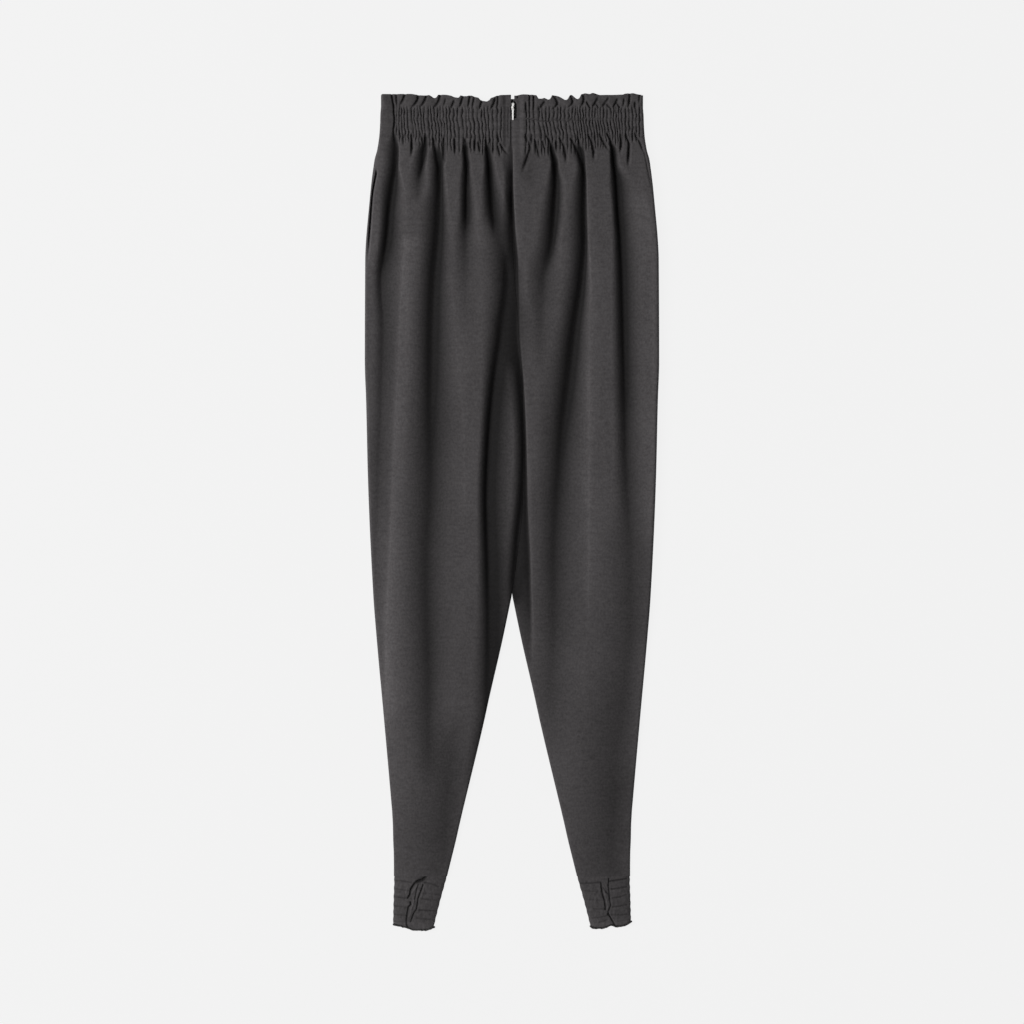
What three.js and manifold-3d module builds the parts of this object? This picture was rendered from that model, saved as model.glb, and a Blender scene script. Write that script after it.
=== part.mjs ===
// Joggers with gathered back, laid flat on their front with the back side up.
// Millimetres. +X to the wearer's right, +Y to the waist, +Z up from the surface they lie on.
// Each piece of cloth is a closed wall: an outer surface, an inner one and the rims between them.
import * as THREE from "three";
import { mergeVertices } from "three/addons/utils/BufferGeometryUtils.js";
import Module from "manifold-3d";

// ---------- Driving dimensions ----------
const SEAM_GAP = 0.3;        // between two pieces at a seam
const FRONT_CLOTH = 1.6;     // wall of the front, which lies on the surface
const BACK_CLOTH = 1.6;      // wall of the back, which lies on the front
const LAYER_SPACE = 3.9;     // most room that a fold leaves between the two layers
const REST_TOP = FRONT_CLOTH + SEAM_GAP + BACK_CLOTH;   // top of the back where it touches the front
const EDGE_ROUND = 13;       // how far in from an outline the cloth reaches its full height

const CROTCH_Y = -102.5;
const LEG_END_Y = -452.7;    // lower edge of the leg panels
const CUFF_TOP_Y = -453;
const CUFF_LOW_Y = -513;
const HEM_RADIUS = 1.1;

// Half of the outline: outer is the side edge, inner the edge along the inside of the leg.
const OUTLINE = [
  { y: 520, outer: 162, inner: 0 },
  { y: 468, outer: 164, inner: 0 },
  { y: 437, outer: 170.4, inner: 0 },
  { y: 387, outer: 176.4, inner: 0 },
  { y: 312, outer: 181.9, inner: 0 },
  { y: 188, outer: 182.4, inner: 0 },
  { y: 39, outer: 178.4, inner: 0 },
  { y: CROTCH_Y, outer: 171.9, inner: 0 },
  { y: -160, outer: 167.4, inner: 13 },
  { y: -259, outer: 158.4, inner: 35.4 },
  { y: -358, outer: 150.1, inner: 59 },
  { y: -408, outer: 147.4, inner: 70 },
  { y: -458, outer: 146.4, inner: 83 },
  { y: -483, outer: 146.9, inner: 89.5 },
  { y: -520, outer: 147.4, inner: 97.5 },
];

// Height of the back cloth between its folds, from the waist to the cuffs.
const PLATEAU = [
  { y: 470, height: 6.6 },
  { y: 425, height: 9.4 },
  { y: 240, height: 9.6 },
  { y: 60, height: 8.9 },
  { y: -110, height: 8.2 },
  { y: -260, height: 7.2 },
  { y: -455, height: 5.6 },
];

// Large folds of the back. Each is a trough whose middle runs through x at the stations below;
// it opens at start, is whole at full, keeps its depth as far as deepTo and has run out at gone.
// share is its depth as a part of the cloth's height, left and right the reach of its flanks.
const STATIONS = [460, 424, 337, 238, 138, 14, -110, -234, -358];
const FOLDS = [
  { x: [-145, -146, -156, -162, -163.5, -167, -168, -168, -168], start: 470, full: 435, deepTo: 290, gone: -20,
    share: 0.92, left: 9, right: 8 },
  { x: [-107, -113, -117, -117, -117, -117, -117, -117, -117], start: 466, full: 450, deepTo: 430, gone: 390,
    share: 0.7, left: 6, right: 5 },
  { x: [-83, -91, -96, -102.5, -101, -105, -109, -104, -80], start: 462, full: 440, deepTo: 60, gone: -390,
    share: 0.97, left: 16, right: 8 },
  { x: [-58, -56.5, -56.5, -62, -62, -62, -62, -62, -62], start: 460, full: 440, deepTo: 370, gone: 235,
    share: 0.92, left: 8, right: 6 },
  { x: [-33, -27, -14, -13, -27, -33, -29, -38, -45], start: 456, full: 435, deepTo: -40, gone: -230,
    share: 0.95, left: 13, right: 9 },
  { x: [0, 0, 0.6, 6.8, 13, 12, 8, 8, 8], start: 380, full: 270, deepTo: 0, gone: -210,
    share: 0.95, left: 10, right: 6 },
  { x: [46, 53, 48, 29, 26, 26, 26, 26, 26], start: 458, full: 440, deepTo: 320, gone: 165,
    share: 0.92, left: 11, right: 7 },
  { x: [74, 86, 88, 76, 68, 54, 50, 46, 44], start: 460, full: 440, deepTo: 90, gone: -280,
    share: 0.96, left: 14, right: 7 },
  { x: [122, 127, 132, 136, 137, 142, 135, 129, 127], start: 464, full: 440, deepTo: 170, gone: -400,
    share: 0.93, left: 8, right: 15 },
];

// Rows of points down a leg panel, from under the shirred waist to the cuff.
const LEG_ROWS = [
  432, 421, 393, 358, 326, 299, 285, 240, 190, 138, 76, 14, -48, CROTCH_Y, -150, -200, -255, -310, -360, -405,
  -435, LEG_END_Y,
];
const BACK_COLUMNS = 30;
const FRONT_COLUMNS = 14;
const FOLD_REACH = 9;        // a front panel stays flat this far round a trough of the back

// Where a side seam or a pocket opening shows on the back, the back panel ends inside the outline.
const POCKET_SLIT_LEFT = [
  { y: 464, x: 161.8 }, { y: 432, x: 170.2 }, { y: 421, x: 168.4 }, { y: 393, x: 173.3 },
  { y: 358, x: 176 }, { y: 326, x: 178.3 }, { y: 299, x: 181.1 }, { y: 285, x: 181.7 },
];
const SIDE_SEAM_RIGHT = [
  { y: 464, x: 152.2 }, { y: 432, x: 167.6 }, { y: 421, x: 171.2 }, { y: 393, x: 175.4 },
];
const EDGE_STRIP_LEFT_Y = [421, 393, 358, 326, 299];
const EDGE_STRIP_RIGHT_Y = [463.7, 432, 421];

// Shirred back waist.
const WAIST_LOW_SIDE = 464;  // its lower edge at the side seam
const WAIST_LOW_CENTRE = 448.5;
const SHIRR_TOP_Y = 499;     // above it the header is free
const LEFT_PLEATS = 23;
const RIGHT_PLEATS = 27;
const COLUMNS_PER_PLEAT = 4;
const WAIST_UNDER_Z = 3.3;   // its plain inside, over the zip tape
const WAIST_WALL = 1.2;      // thinnest, at the bottom of a pleat
const PLEAT_HEIGHT = 1.8;
const RUFFLE_HEIGHT = 2.2;
const RUFFLE_LEAN = 0.7;     // sideways per unit of height
const WAIST_SWELL = 1.2;     // how much the shirring swells towards the legs
const SHIRR_LEVELS = [0, 0.15, 0.35, 0.6, 0.8, 1];      // share of the way up to SHIRR_TOP_Y
const HEADER_LEVELS = [0.5, 1];                         // share of the way from there to the top edge

const PLAIN_LEVELS = [0, 4, 5, 7];                      // those of its levels that the plain inside has too

// Top edge of the frilled header, from the left side seam to the right edge.
const HEADER_TOP = [
  { x: -162, y: 518.7 }, { x: -103, y: 518.7 }, { x: -96, y: 512.5 }, { x: -90, y: 518 }, { x: -76, y: 517.5 },
  { x: -70, y: 509.5 }, { x: -63, y: 517.5 }, { x: -50, y: 516.5 }, { x: -40, y: 510.5 }, { x: -29, y: 510.5 },
  { x: -24, y: 517.5 }, { x: 31, y: 517.5 }, { x: 42, y: 515 }, { x: 46.5, y: 507.8 }, { x: 52, y: 517 },
  { x: 66, y: 511 }, { x: 73, y: 517 }, { x: 80, y: 519.6 }, { x: 100, y: 520 }, { x: 144, y: 520 },
  { x: 163, y: 519.4 },
];

// Zip notch at the centre back.
const ZIP_X = 0.95;
const NOTCH_HALF = 1.85;
const NOTCH_LOW_Y = 499;
const NOTCH_CLOSED_Y = 489;
const CENTRE_FLAT = 15;      // unshirred cloth beside the zip
const CENTRE_WALL = 1.9;
const TAPE = { half: 6, low: 325, high: 510, thick: 1 };
const SLIDER = { half: 1.5, low: 500.6, high: 508.4, bottom: 3.2, top: 6 };
const ARCH = { half: 0.4, low: 501.4, high: 504.6, top: 8.6, post: 0.6 };
const PULL = { axisY: 503, axisZ: 7, half: 1.3, bar: 0.4, eyeEnd: 500.3, tabHalf: 1, tabEnd: 487, thick: 0.8 };

// Side seam of the waist on the left: the front waist comes round to here.
const LEFT_SEAM_X = -148.5;
const FRONT_WAIST_LOW_Y = 448.5;
const FRONT_TOP_SIDE_Y = 518.7;
const FRONT_TOP_CENTRE_Y = 506;   // lower than the frill, all but at its ends

const WRAP_ROUND = 2.2;      // bend of the front waist round the left edge

// Cuffs and rolled hems. low is the lower edge of the hem.
const HEM_LOW_LEFT = [
  { x: -147.9, y: -513.5 }, { x: -140, y: -516.2 }, { x: -124, y: -520 },
  { x: -107, y: -520.2 }, { x: -101, y: -518.2 }, { x: -96.5, y: -516 },
];
const HEM_LOW_RIGHT = [
  { x: 97.5, y: -514.5 }, { x: 103, y: -517.5 }, { x: 113, y: -518.2 },
  { x: 124, y: -513.8 }, { x: 136, y: -516.8 }, { x: 149, y: -510.5 },
];
const CUFF_LEVELS = 12;      // grooves under the elastic rows and puffs between them, turn about
const CUFF_TOP_COLUMNS = 19;
const CUFF_UNDER_COLUMNS = 9;
const CUFF_HEIGHT = 5.6;
const CUFF_WALL = 1.3;
const CUFF_PUFF = 0.7;
// Small pleats pinched into each cuff: place from the inner edge as a share of its width,
// at the top and at the hem.
const CUFF_PINCHES = [
  { top: 0.42, low: 0.52, height: 0.9, reach: 0.045 },
  { top: 0.56, low: 0.6, height: 0.7, reach: 0.05 },
];
const HEM_AROUND = 30;
const HEM_SIDES = 6;
const HEM_HIGH_Z = 4.4;      // height of its upper run, middle of the roll

const WARM_BLACK = { color: 0x3b3938, roughness: 0.85, metalness: 0 };
const EDGE_BLACK = { color: 0x262423, roughness: 0.8, metalness: 0 };
const TAPE_BLACK = { color: 0x1d1c1c, roughness: 0.75, metalness: 0 };
const PALE_METAL = { color: 0xd8d4cc, roughness: 0.3, metalness: 1 };

// ---------- Sampling ----------
function smooth(from, to, value) {
  const share = Math.min(1, Math.max(0, (value - from) / (to - from)));
  return share * share * (3 - 2 * share);
}

// Value of one column of a table at a place, on a soft curve through its rows.
function sample(table, place, key, at) {
  const rising = table[0][place] < table[table.length - 1][place];
  const rows = rising ? table : [...table].reverse();
  const last = rows.length - 1;
  if (at <= rows[0][place]) return rows[0][key];
  if (at >= rows[last][place]) return rows[last][key];
  let k = 0;
  while (rows[k + 1][place] < at) k += 1;
  const span = rows[k + 1][place] - rows[k][place];
  const slope = (a, b) => (rows[b][key] - rows[a][key]) / (rows[b][place] - rows[a][place]);
  const here = slope(k, k + 1);
  const before = k > 0 ? slope(k - 1, k) : here;
  const after = k < last - 1 ? slope(k + 1, k + 2) : here;
  const startSlope = before * here > 0 ? (2 * before * here) / (before + here) : 0;
  const endSlope = after * here > 0 ? (2 * after * here) / (after + here) : 0;
  const t = (at - rows[k][place]) / span;
  const a = rows[k][key];
  const b = rows[k + 1][key];
  const lift = t * (1 - t) * ((1 - t) * (startSlope * span - (b - a)) - t * (endSlope * span - (b - a)));
  return a + (b - a) * t + lift;
}

const outer = (y) => sample(OUTLINE, "y", "outer", y);
const inner = (y) => sample(OUTLINE, "y", "inner", y);

function waistLow(x) {
  return WAIST_LOW_CENTRE + (WAIST_LOW_SIDE - WAIST_LOW_CENTRE) * smooth(70, 150, Math.abs(x));
}

// ---------- Height of the back cloth ----------
const FOLD_PATHS = FOLDS.map((fold) => STATIONS.map((y, k) => ({ y, x: fold.x[k] })));

function foldShare(index, x, y) {
  const fold = FOLDS[index];
  if (y > fold.start || y < fold.gone) return 0;
  const along = smooth(fold.start, fold.full, y) * smooth(fold.gone, fold.deepTo, y);
  const away = x - sample(FOLD_PATHS[index], "y", "x", y);
  const reach = away < 0 ? fold.left : fold.right;
  return fold.share * along * Math.exp(-Math.pow(away / reach, 2) * 1.4);
}

// Distance from a point to the outline of its half of the garment.
function edgeDistance(x, y) {
  const side = Math.abs(x);
  const toOuter = outer(y) - side;
  const toInner = y > CROTCH_Y ? Math.hypot(side, y - CROTCH_Y) : side - inner(y);
  return Math.max(0, Math.min(toOuter, toInner));
}

function backTop(x, y) {
  let height = sample(PLATEAU, "y", "height", y) - REST_TOP;
  FOLDS.forEach((fold, index) => {
    height *= 1 - foldShare(index, x, y);
  });
  const fall = 1 - Math.min(1, edgeDistance(x, y) / EDGE_ROUND);
  return REST_TOP + height * Math.sqrt(1 - fall * fall);
}

// ---------- Closed walls ----------
function addGrid(points, faces, rows, upward) {
  const base = [];
  for (const row of rows) {
    base.push(points.length);
    points.push(...row);
  }
  for (let r = 0; r < rows.length - 1; r += 1) {
    for (let c = 0; c < rows[r].length - 1; c += 1) {
      const a = base[r] + c;
      const d = base[r + 1] + c;
      const quad = upward ? [a, a + 1, d + 1, a, d + 1, d] : [a, d + 1, a + 1, a, d, d + 1];
      faces.push(...quad);
    }
  }
  return base;
}

// How far along its line each point lies, as a share of the whole.
function sharesAlong(points, line) {
  const shares = [0];
  for (let k = 1; k < line.length; k += 1) {
    const [a, b] = [points[line[k - 1]], points[line[k]]];
    shares.push(shares[k - 1] + Math.hypot(b[0] - a[0], b[1] - a[1]));
  }
  return shares.map((length) => length / shares[line.length - 1]);
}

// Joins two lines of points that start and end beside each other with a strip of triangles.
function zipLines(points, faces, upper, lower) {
  const upperShares = sharesAlong(points, upper);
  const lowerShares = sharesAlong(points, lower);
  let i = 0;
  let j = 0;
  while (i < upper.length - 1 || j < lower.length - 1) {
    const upperLeft = i < upper.length - 1;
    const lowerLeft = j < lower.length - 1;
    if (upperLeft && (!lowerLeft || upperShares[i + 1] <= lowerShares[j + 1])) {
      faces.push(upper[i + 1], upper[i], lower[j]);
      i += 1;
    } else {
      faces.push(lower[j], lower[j + 1], upper[i]);
      j += 1;
    }
  }
}

function gridSides(rows, base) {
  const last = rows.length - 1;
  const low = rows[0].map((_, c) => base[0] + c);
  const high = rows[last].map((_, c) => base[last] + c).reverse();
  const right = rows.map((row, r) => base[r] + row.length - 1);
  const left = rows.map((_, r) => base[r]).reverse();
  return [low, right, high, left];
}

function geometryOf(points, faces) {
  const geometry = new THREE.BufferGeometry();
  geometry.setAttribute("position", new THREE.Float32BufferAttribute(points.flat(), 3));
  geometry.setIndex(faces);
  const merged = mergeVertices(geometry, 1e-4);
  merged.computeVertexNormals();
  return merged;
}

// A wall between an upper and a lower sheet, each rows of points from low y to high y, left to right.
function wall(upperRows, lowerRows) {
  const points = [];
  const faces = [];
  const upperBase = addGrid(points, faces, upperRows, true);
  const lowerBase = addGrid(points, faces, lowerRows, false);
  const upperSides = gridSides(upperRows, upperBase);
  const lowerSides = gridSides(lowerRows, lowerBase);
  upperSides.forEach((side, k) => zipLines(points, faces, side, lowerSides[k]));
  return geometryOf(points, faces);
}

function addTube(points, faces, rings, outward) {
  const count = rings[0].length;
  const base = points.length;
  for (const ring of rings) points.push(...ring);
  for (let r = 0; r < rings.length - 1; r += 1) {
    for (let c = 0; c < count; c += 1) {
      const a = base + r * count + c;
      const b = base + r * count + ((c + 1) % count);
      const corners = [a, b + count, b, a, a + count, b + count];
      faces.push(...(outward ? corners : corners.reverse()));
    }
  }
  return base;
}

function closedLine(base, count) {
  const line = Array.from({ length: count }, (_, k) => base + k);
  line.push(base);
  return line;
}

// A tube of cloth between outer and inner rings, which run from low y to high y.
function tubeWall(outerRings, innerRings) {
  const points = [];
  const faces = [];
  const outerCount = outerRings[0].length;
  const innerCount = innerRings[0].length;
  const outerBase = addTube(points, faces, outerRings, true);
  const innerBase = addTube(points, faces, innerRings, false);
  const lowOuter = closedLine(outerBase, outerCount);
  const lowInner = closedLine(innerBase, innerCount);
  zipLines(points, faces, lowOuter.reverse(), lowInner.reverse());
  const highOuter = closedLine(outerBase + outerCount * (outerRings.length - 1), outerCount);
  const highInner = closedLine(innerBase + innerCount * (innerRings.length - 1), innerCount);
  zipLines(points, faces, highOuter, highInner);
  return geometryOf(points, faces);
}

function spread(from, to, count) {
  return Array.from({ length: count }, (_, k) => from + ((to - from) * k) / (count - 1));
}

const group = new THREE.Group();
function addPiece(name, geometry, look) {
  const mesh = new THREE.Mesh(geometry, new THREE.MeshStandardMaterial(look));
  mesh.name = name;
  group.add(mesh);
}

// ---------- Leg panels ----------
// side is -1 for the left half and +1 for the right one.
function panelRows(side, columns, heightAt, reachAt, topAt) {
  const rows = [];
  const levels = [...LEG_ROWS].reverse();
  const middle = SEAM_GAP / 2;
  for (const y of levels) {
    const ends = [side * reachAt(y), side * Math.max(middle, inner(y))].sort((a, b) => a - b);
    rows.push(spread(ends[0], ends[1], columns).map((x) => [x, y, heightAt(x, y)]));
  }
  const topY = (x) => topAt(x) - SEAM_GAP;
  const top = [side * reachAt(topAt(outer(SHIRR_TOP_Y))), side * middle].sort((a, b) => a - b);
  rows.push(spread(top[0], top[1], columns).map((x) => [x, topY(x), heightAt(x, topY(x))]));
  return rows;
}

function lowered(rows, depth) {
  return rows.map((row) => row.map(([x, y, z]) => [x, y, z - depth]));
}

// The front lies flat and lifts only under broad high stretches of the back, away from the zip.
function frontTop(x, y) {
  let height = Infinity;
  for (const step of [-1, -0.5, 0, 0.5, 1]) height = Math.min(height, backTop(x + step * FOLD_REACH, y));
  const lift = Math.max(0, height - BACK_CLOTH - LAYER_SPACE - FRONT_CLOTH);
  return FRONT_CLOTH + lift * smooth(FOLD_REACH, 3 * FOLD_REACH, Math.abs(x));
}

// How far out the back panel reaches: to the outline, or to the opening or seam that shows inside it.
function backReach(side) {
  const table = side < 0 ? POCKET_SLIT_LEFT : SIDE_SEAM_RIGHT;
  const top = table[0].y;
  const low = table[table.length - 1].y;
  return (y) => (y <= top && y >= low ? Math.min(outer(y), sample(table, "y", "x", y)) : outer(y));
}

for (const [word, side] of [["left", -1], ["right", 1]]) {
  const back = panelRows(side, BACK_COLUMNS, backTop, backReach(side), waistLow);
  addPiece(`back_leg_${word}`, wall(back, lowered(back, BACK_CLOTH)), WARM_BLACK);
  const front = panelRows(side, FRONT_COLUMNS, frontTop, outer, () => FRONT_WAIST_LOW_Y);
  addPiece(`front_leg_${word}`, wall(front, lowered(front, FRONT_CLOTH)), WARM_BLACK);
}

// ---------- Pocket edges ----------
// A narrow strip of the front that shows outside the slit or seam, along the outline.
function edgeStrip(side, levels) {
  const reach = backReach(side);
  const rows = [...levels].reverse().map((y) => {
    const ends = [side * outer(y), side * (reach(y) + SEAM_GAP)].sort((a, b) => a - b);
    return spread(ends[0], ends[1], 3).map((x) => [x, y, backTop(x, y)]);
  });
  return wall(rows, lowered(rows, BACK_CLOTH));
}
addPiece("pocket_edge_left", edgeStrip(-1, EDGE_STRIP_LEFT_Y), WARM_BLACK);
addPiece("pocket_edge_right", edgeStrip(1, EDGE_STRIP_RIGHT_Y), WARM_BLACK);

// ---------- Shirred back waist ----------
const headerTop = (x) => sample(HEADER_TOP, "x", "y", x);

function waistLevels(x) {
  const low = waistLow(x);
  const shirred = SHIRR_LEVELS.map((share) => low + share * (SHIRR_TOP_Y - low));
  const header = HEADER_LEVELS.map((share) => SHIRR_TOP_Y + share * (headerTop(x) - SHIRR_TOP_Y));
  return [...shirred, ...header];
}

// Half width of the zip's notch at a height, measured from its own middle.
const notchShare = (y) => smooth(NOTCH_CLOSED_Y, NOTCH_LOW_Y, y);

function centreEdge(side, y) {
  const closed = (side * SEAM_GAP) / 2;
  return closed + (ZIP_X + side * NOTCH_HALF - closed) * notchShare(y);
}

// along counts pleats from the side seam; flat is 1 in the plain cloth beside the zip.
function waistTop(y, along, flat, toEdge) {
  const header = smooth(SHIRR_TOP_Y - 2, SHIRR_TOP_Y + 10, y);
  const uneven = 0.8 + 0.2 * Math.sin(2.4 * Math.round(along));
  const pleat = PLEAT_HEIGHT * uneven * (0.5 + 0.5 * Math.cos(2 * Math.PI * along)) * (1 - header);
  const ruffle = RUFFLE_HEIGHT * (0.5 + 0.5 * Math.cos(Math.PI * along)) * header;
  const swell = WAIST_SWELL * smooth(SHIRR_TOP_Y - 25, WAIST_LOW_CENTRE, y) * smooth(0, EDGE_ROUND, toEdge);
  const shirred = WAIST_WALL + pleat + ruffle;
  return WAIST_UNDER_Z + shirred * (1 - flat) + CENTRE_WALL * flat + swell;
}

function waistBack(side, pleats) {
  const outerEnd = (y) => (side < 0 ? LEFT_SEAM_X + SEAM_GAP : outer(y));
  const pleatColumns = pleats * COLUMNS_PER_PLEAT;
  const levelCount = SHIRR_LEVELS.length + HEADER_LEVELS.length;
  const upper = [];
  const lower = [];
  for (let level = 0; level < levelCount; level += 1) {
    const row = [];
    for (let column = 0; column <= pleatColumns + 2; column += 1) {
      const along = Math.min(column, pleatColumns) / COLUMNS_PER_PLEAT;
      const flat = column > pleatColumns ? 1 : smooth(pleats - 0.5, pleats, along);
      const share = along / pleats;
      const end = outerEnd(waistLevels(outerEnd(SHIRR_TOP_Y))[level]);
      let x = end + (side * CENTRE_FLAT - end) * share;
      const y = waistLevels(x)[level];
      x += RUFFLE_LEAN * Math.max(0, y - SHIRR_TOP_Y) * Math.sin(Math.PI * share);
      if (column === pleatColumns + 1) x = (side * CENTRE_FLAT + centreEdge(side, y)) / 2;
      if (column === pleatColumns + 2) x = centreEdge(side, y);
      const toEdge = side < 0 ? EDGE_ROUND : outer(y) - x;
      row.push([x, y, waistTop(y, along, flat, toEdge)]);
    }
    if (side > 0) row.reverse();
    upper.push(row);
  }
  const lowest = FRONT_CLOTH + SEAM_GAP;
  const underZ = (x) => lowest + (WAIST_UNDER_Z - lowest) * smooth(0, EDGE_ROUND, outer(SHIRR_TOP_Y) - x);
  const kept = (column, count) => column % COLUMNS_PER_PLEAT === 0 || column > count - 3;
  for (const level of PLAIN_LEVELS) {
    const count = upper[level].length;
    const row = upper[level].filter((_, c) => kept(side < 0 ? c : count - 1 - c, count));
    lower.push(row.map(([x, y]) => [x, y, underZ(x)]));
  }
  return wall(upper, lower);
}
addPiece("waist_back_left", waistBack(-1, LEFT_PLEATS), WARM_BLACK);
addPiece("waist_back_right", waistBack(1, RIGHT_PLEATS), WARM_BLACK);

// ---------- Front waist ----------
// One smooth band: flat under the back, round the left edge, and back over itself as far as the side seam.
const FRONT_WAIST_X = [-135, -115, -95, -70, 0, 70, 95, 115, 135, 150];
const FRONT_WAIST_LEVELS = 5;

function frontWaistRing(share) {
  const rise = FRONT_TOP_SIDE_Y - FRONT_TOP_CENTRE_Y;
  const flatLevel = (x) => {
    const top = FRONT_TOP_CENTRE_Y + rise * (x / outer(SHIRR_TOP_Y)) ** 6;
    return FRONT_WAIST_LOW_Y + share * (top - FRONT_WAIST_LOW_Y);
  };
  const foldLevel = WAIST_LOW_SIDE + share * (FRONT_TOP_SIDE_Y - WAIST_LOW_SIDE);
  const side = outer(foldLevel);
  const foldLow = WAIST_UNDER_Z;
  const foldTop = WAIST_UNDER_Z + FRONT_CLOTH;
  const middle = foldTop / 2;
  const corner = 0.27 * WRAP_ROUND;
  const section = [
    [-side + WRAP_ROUND, 0],
    ...FRONT_WAIST_X.map((x) => [x, 0]),
    [side, 0],
    [side, FRONT_CLOTH],
    ...[...FRONT_WAIST_X].reverse().map((x) => [x, FRONT_CLOTH]),
    [-side + WRAP_ROUND, FRONT_CLOTH],
    [-side + FRONT_CLOTH, middle],
    [-side + WRAP_ROUND, foldLow],
    [LEFT_SEAM_X, foldLow],
    [LEFT_SEAM_X, foldTop],
    [-side + WRAP_ROUND, foldTop],
    [-side + corner, foldTop - corner],
    [-side, middle],
    [-side + corner, corner],
  ];
  const flat = (x, z) => z === 0 || (z === FRONT_CLOTH && x > -side + WRAP_ROUND);
  return section.map(([x, z]) => [x, flat(x, z) ? flatLevel(x) : foldLevel, z]);
}

// A solid between rings of the same count, closed by flat ends.
function loft(rings) {
  const points = [];
  const faces = [];
  const count = rings[0].length;
  addTube(points, faces, rings, true);
  const outline = rings[0].map(([x, , z]) => new THREE.Vector2(x, z));
  const lastBase = count * (rings.length - 1);
  for (const [a, b, c] of THREE.ShapeUtils.triangulateShape(outline, [])) {
    faces.push(a, b, c);
    faces.push(lastBase + a, lastBase + c, lastBase + b);
  }
  return geometryOf(points, faces);
}
addPiece("waist_front", loft(spread(0, 1, FRONT_WAIST_LEVELS).map(frontWaistRing)), WARM_BLACK);

// ---------- Cuffs ----------
const cuffEnd = (hemLow, x) => sample(hemLow, "x", "y", x) + 2 * HEM_RADIUS + 2 * SEAM_GAP;

// Raised ridge of the pinched pleats at a share of the cuff's width from its inner edge.
function pinchHeight(share, down) {
  let height = 0;
  for (const pinch of CUFF_PINCHES) {
    const middle = pinch.top + (pinch.low - pinch.top) * down;
    height += pinch.height * Math.exp(-Math.pow((share - middle) / pinch.reach, 2));
  }
  return height;
}

function cuffRing(side, hemLow, down, puff, wallInset) {
  const top = [];
  const under = [];
  const crown = CUFF_HEIGHT - CUFF_PUFF * (1 - puff);
  const low = wallInset;
  const high = (wallInset > 0 ? CUFF_HEIGHT - CUFF_PUFF : crown) - wallInset;
  const levelAt = (x) => CUFF_TOP_Y + (cuffEnd(hemLow, x) - CUFF_TOP_Y) * down;
  const middleY = CUFF_TOP_Y + (CUFF_LOW_Y - CUFF_TOP_Y) * down;
  const scallop = wallInset > 0 ? wallInset + CUFF_PUFF : CUFF_PUFF * (1 - puff);
  const from = inner(middleY) + scallop;
  const to = outer(middleY) - scallop;
  const shares = (count) => spread(0, 1, count);
  for (const share of shares(CUFF_UNDER_COLUMNS)) {
    const x = side * (from + (to - from) * (0.02 + 0.96 * share));
    under.push([x, levelAt(x), low]);
  }
  for (const share of shares(CUFF_TOP_COLUMNS)) {
    const x = side * (from + (to - from) * share);
    const bend = Math.sqrt(Math.max(0, 1 - Math.pow(2 * share - 1, 10)));
    const pinch = wallInset > 0 ? 0 : pinchHeight(share, down) * bend;
    const middle = (low + high) / 2;
    top.push([x, levelAt(x), middle + (high - middle) * bend + pinch]);
  }
  const ring = side > 0 ? [...under, ...top.reverse()] : [...under.reverse(), ...top];
  return ring;
}

function cuff(side, hemLow) {
  const levels = spread(1, 0, CUFF_LEVELS);
  const outerRings = levels.map((down, k) => cuffRing(side, hemLow, down, k % 2, 0));
  const innerRings = [1, 0.5, 0].map((down) => cuffRing(side, hemLow, down, 0, CUFF_WALL));
  return tubeWall(outerRings, innerRings);
}
addPiece("cuff_left", cuff(-1, HEM_LOW_LEFT), WARM_BLACK);
addPiece("cuff_right", cuff(1, HEM_LOW_RIGHT), WARM_BLACK);

// ---------- Rolled hems ----------
// A thin roll that runs round the flattened end of each cuff.
function hemRoll(hemLow) {
  const from = hemLow[0].x + HEM_RADIUS;
  const to = hemLow[hemLow.length - 1].x - HEM_RADIUS;
  const bend = (HEM_HIGH_Z - HEM_RADIUS) / 2;
  const middleZ = HEM_RADIUS + bend;
  const straight = to - from - 2 * bend;
  const round = Math.PI * bend;
  const length = 2 * (straight + round);
  const rings = spread(0, 1, HEM_AROUND + 1).slice(0, HEM_AROUND).map((share) => {
    let along = share * length;
    let x = from + bend + along;
    let z = HEM_RADIUS;
    let turn = -Math.PI / 2;
    if (along > straight && along <= straight + round) {
      turn = -Math.PI / 2 + (along - straight) / bend;
      x = to - bend + bend * Math.cos(turn);
      z = middleZ + bend * Math.sin(turn);
    } else if (along > straight + round && along <= 2 * straight + round) {
      along -= straight + round;
      turn = Math.PI / 2;
      x = to - bend - along;
      z = HEM_HIGH_Z;
    } else if (along > 2 * straight + round) {
      turn = Math.PI / 2 + (along - 2 * straight - round) / bend;
      x = from + bend + bend * Math.cos(turn);
      z = middleZ + bend * Math.sin(turn);
    }
    const y = sample(hemLow, "x", "y", x) + HEM_RADIUS;
    const ring = [];
    for (let k = 0; k < HEM_SIDES; k += 1) {
      const angle = (2 * Math.PI * k) / HEM_SIDES;
      const out = HEM_RADIUS * Math.cos(angle);
      ring.push([x + out * Math.cos(turn), y + HEM_RADIUS * Math.sin(angle), z + out * Math.sin(turn)]);
    }
    return ring;
  });
  const points = [];
  const faces = [];
  addTube(points, faces, [...rings, rings[0]], false);
  return geometryOf(points, faces);
}
addPiece("hem_left", hemRoll(HEM_LOW_LEFT), EDGE_BLACK);
addPiece("hem_right", hemRoll(HEM_LOW_RIGHT), EDGE_BLACK);

// ---------- Zip ----------
const wasm = await Module();
wasm.setup();

function solidOf(geometry) {
  const bare = geometry.clone();
  bare.deleteAttribute("normal");
  bare.deleteAttribute("uv");
  const merged = mergeVertices(bare, 1e-5);
  const mesh = { numProp: 3, vertProperties: merged.attributes.position.array, triVerts: merged.index.array };
  return new wasm.Manifold(new wasm.Mesh(mesh));
}

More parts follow.
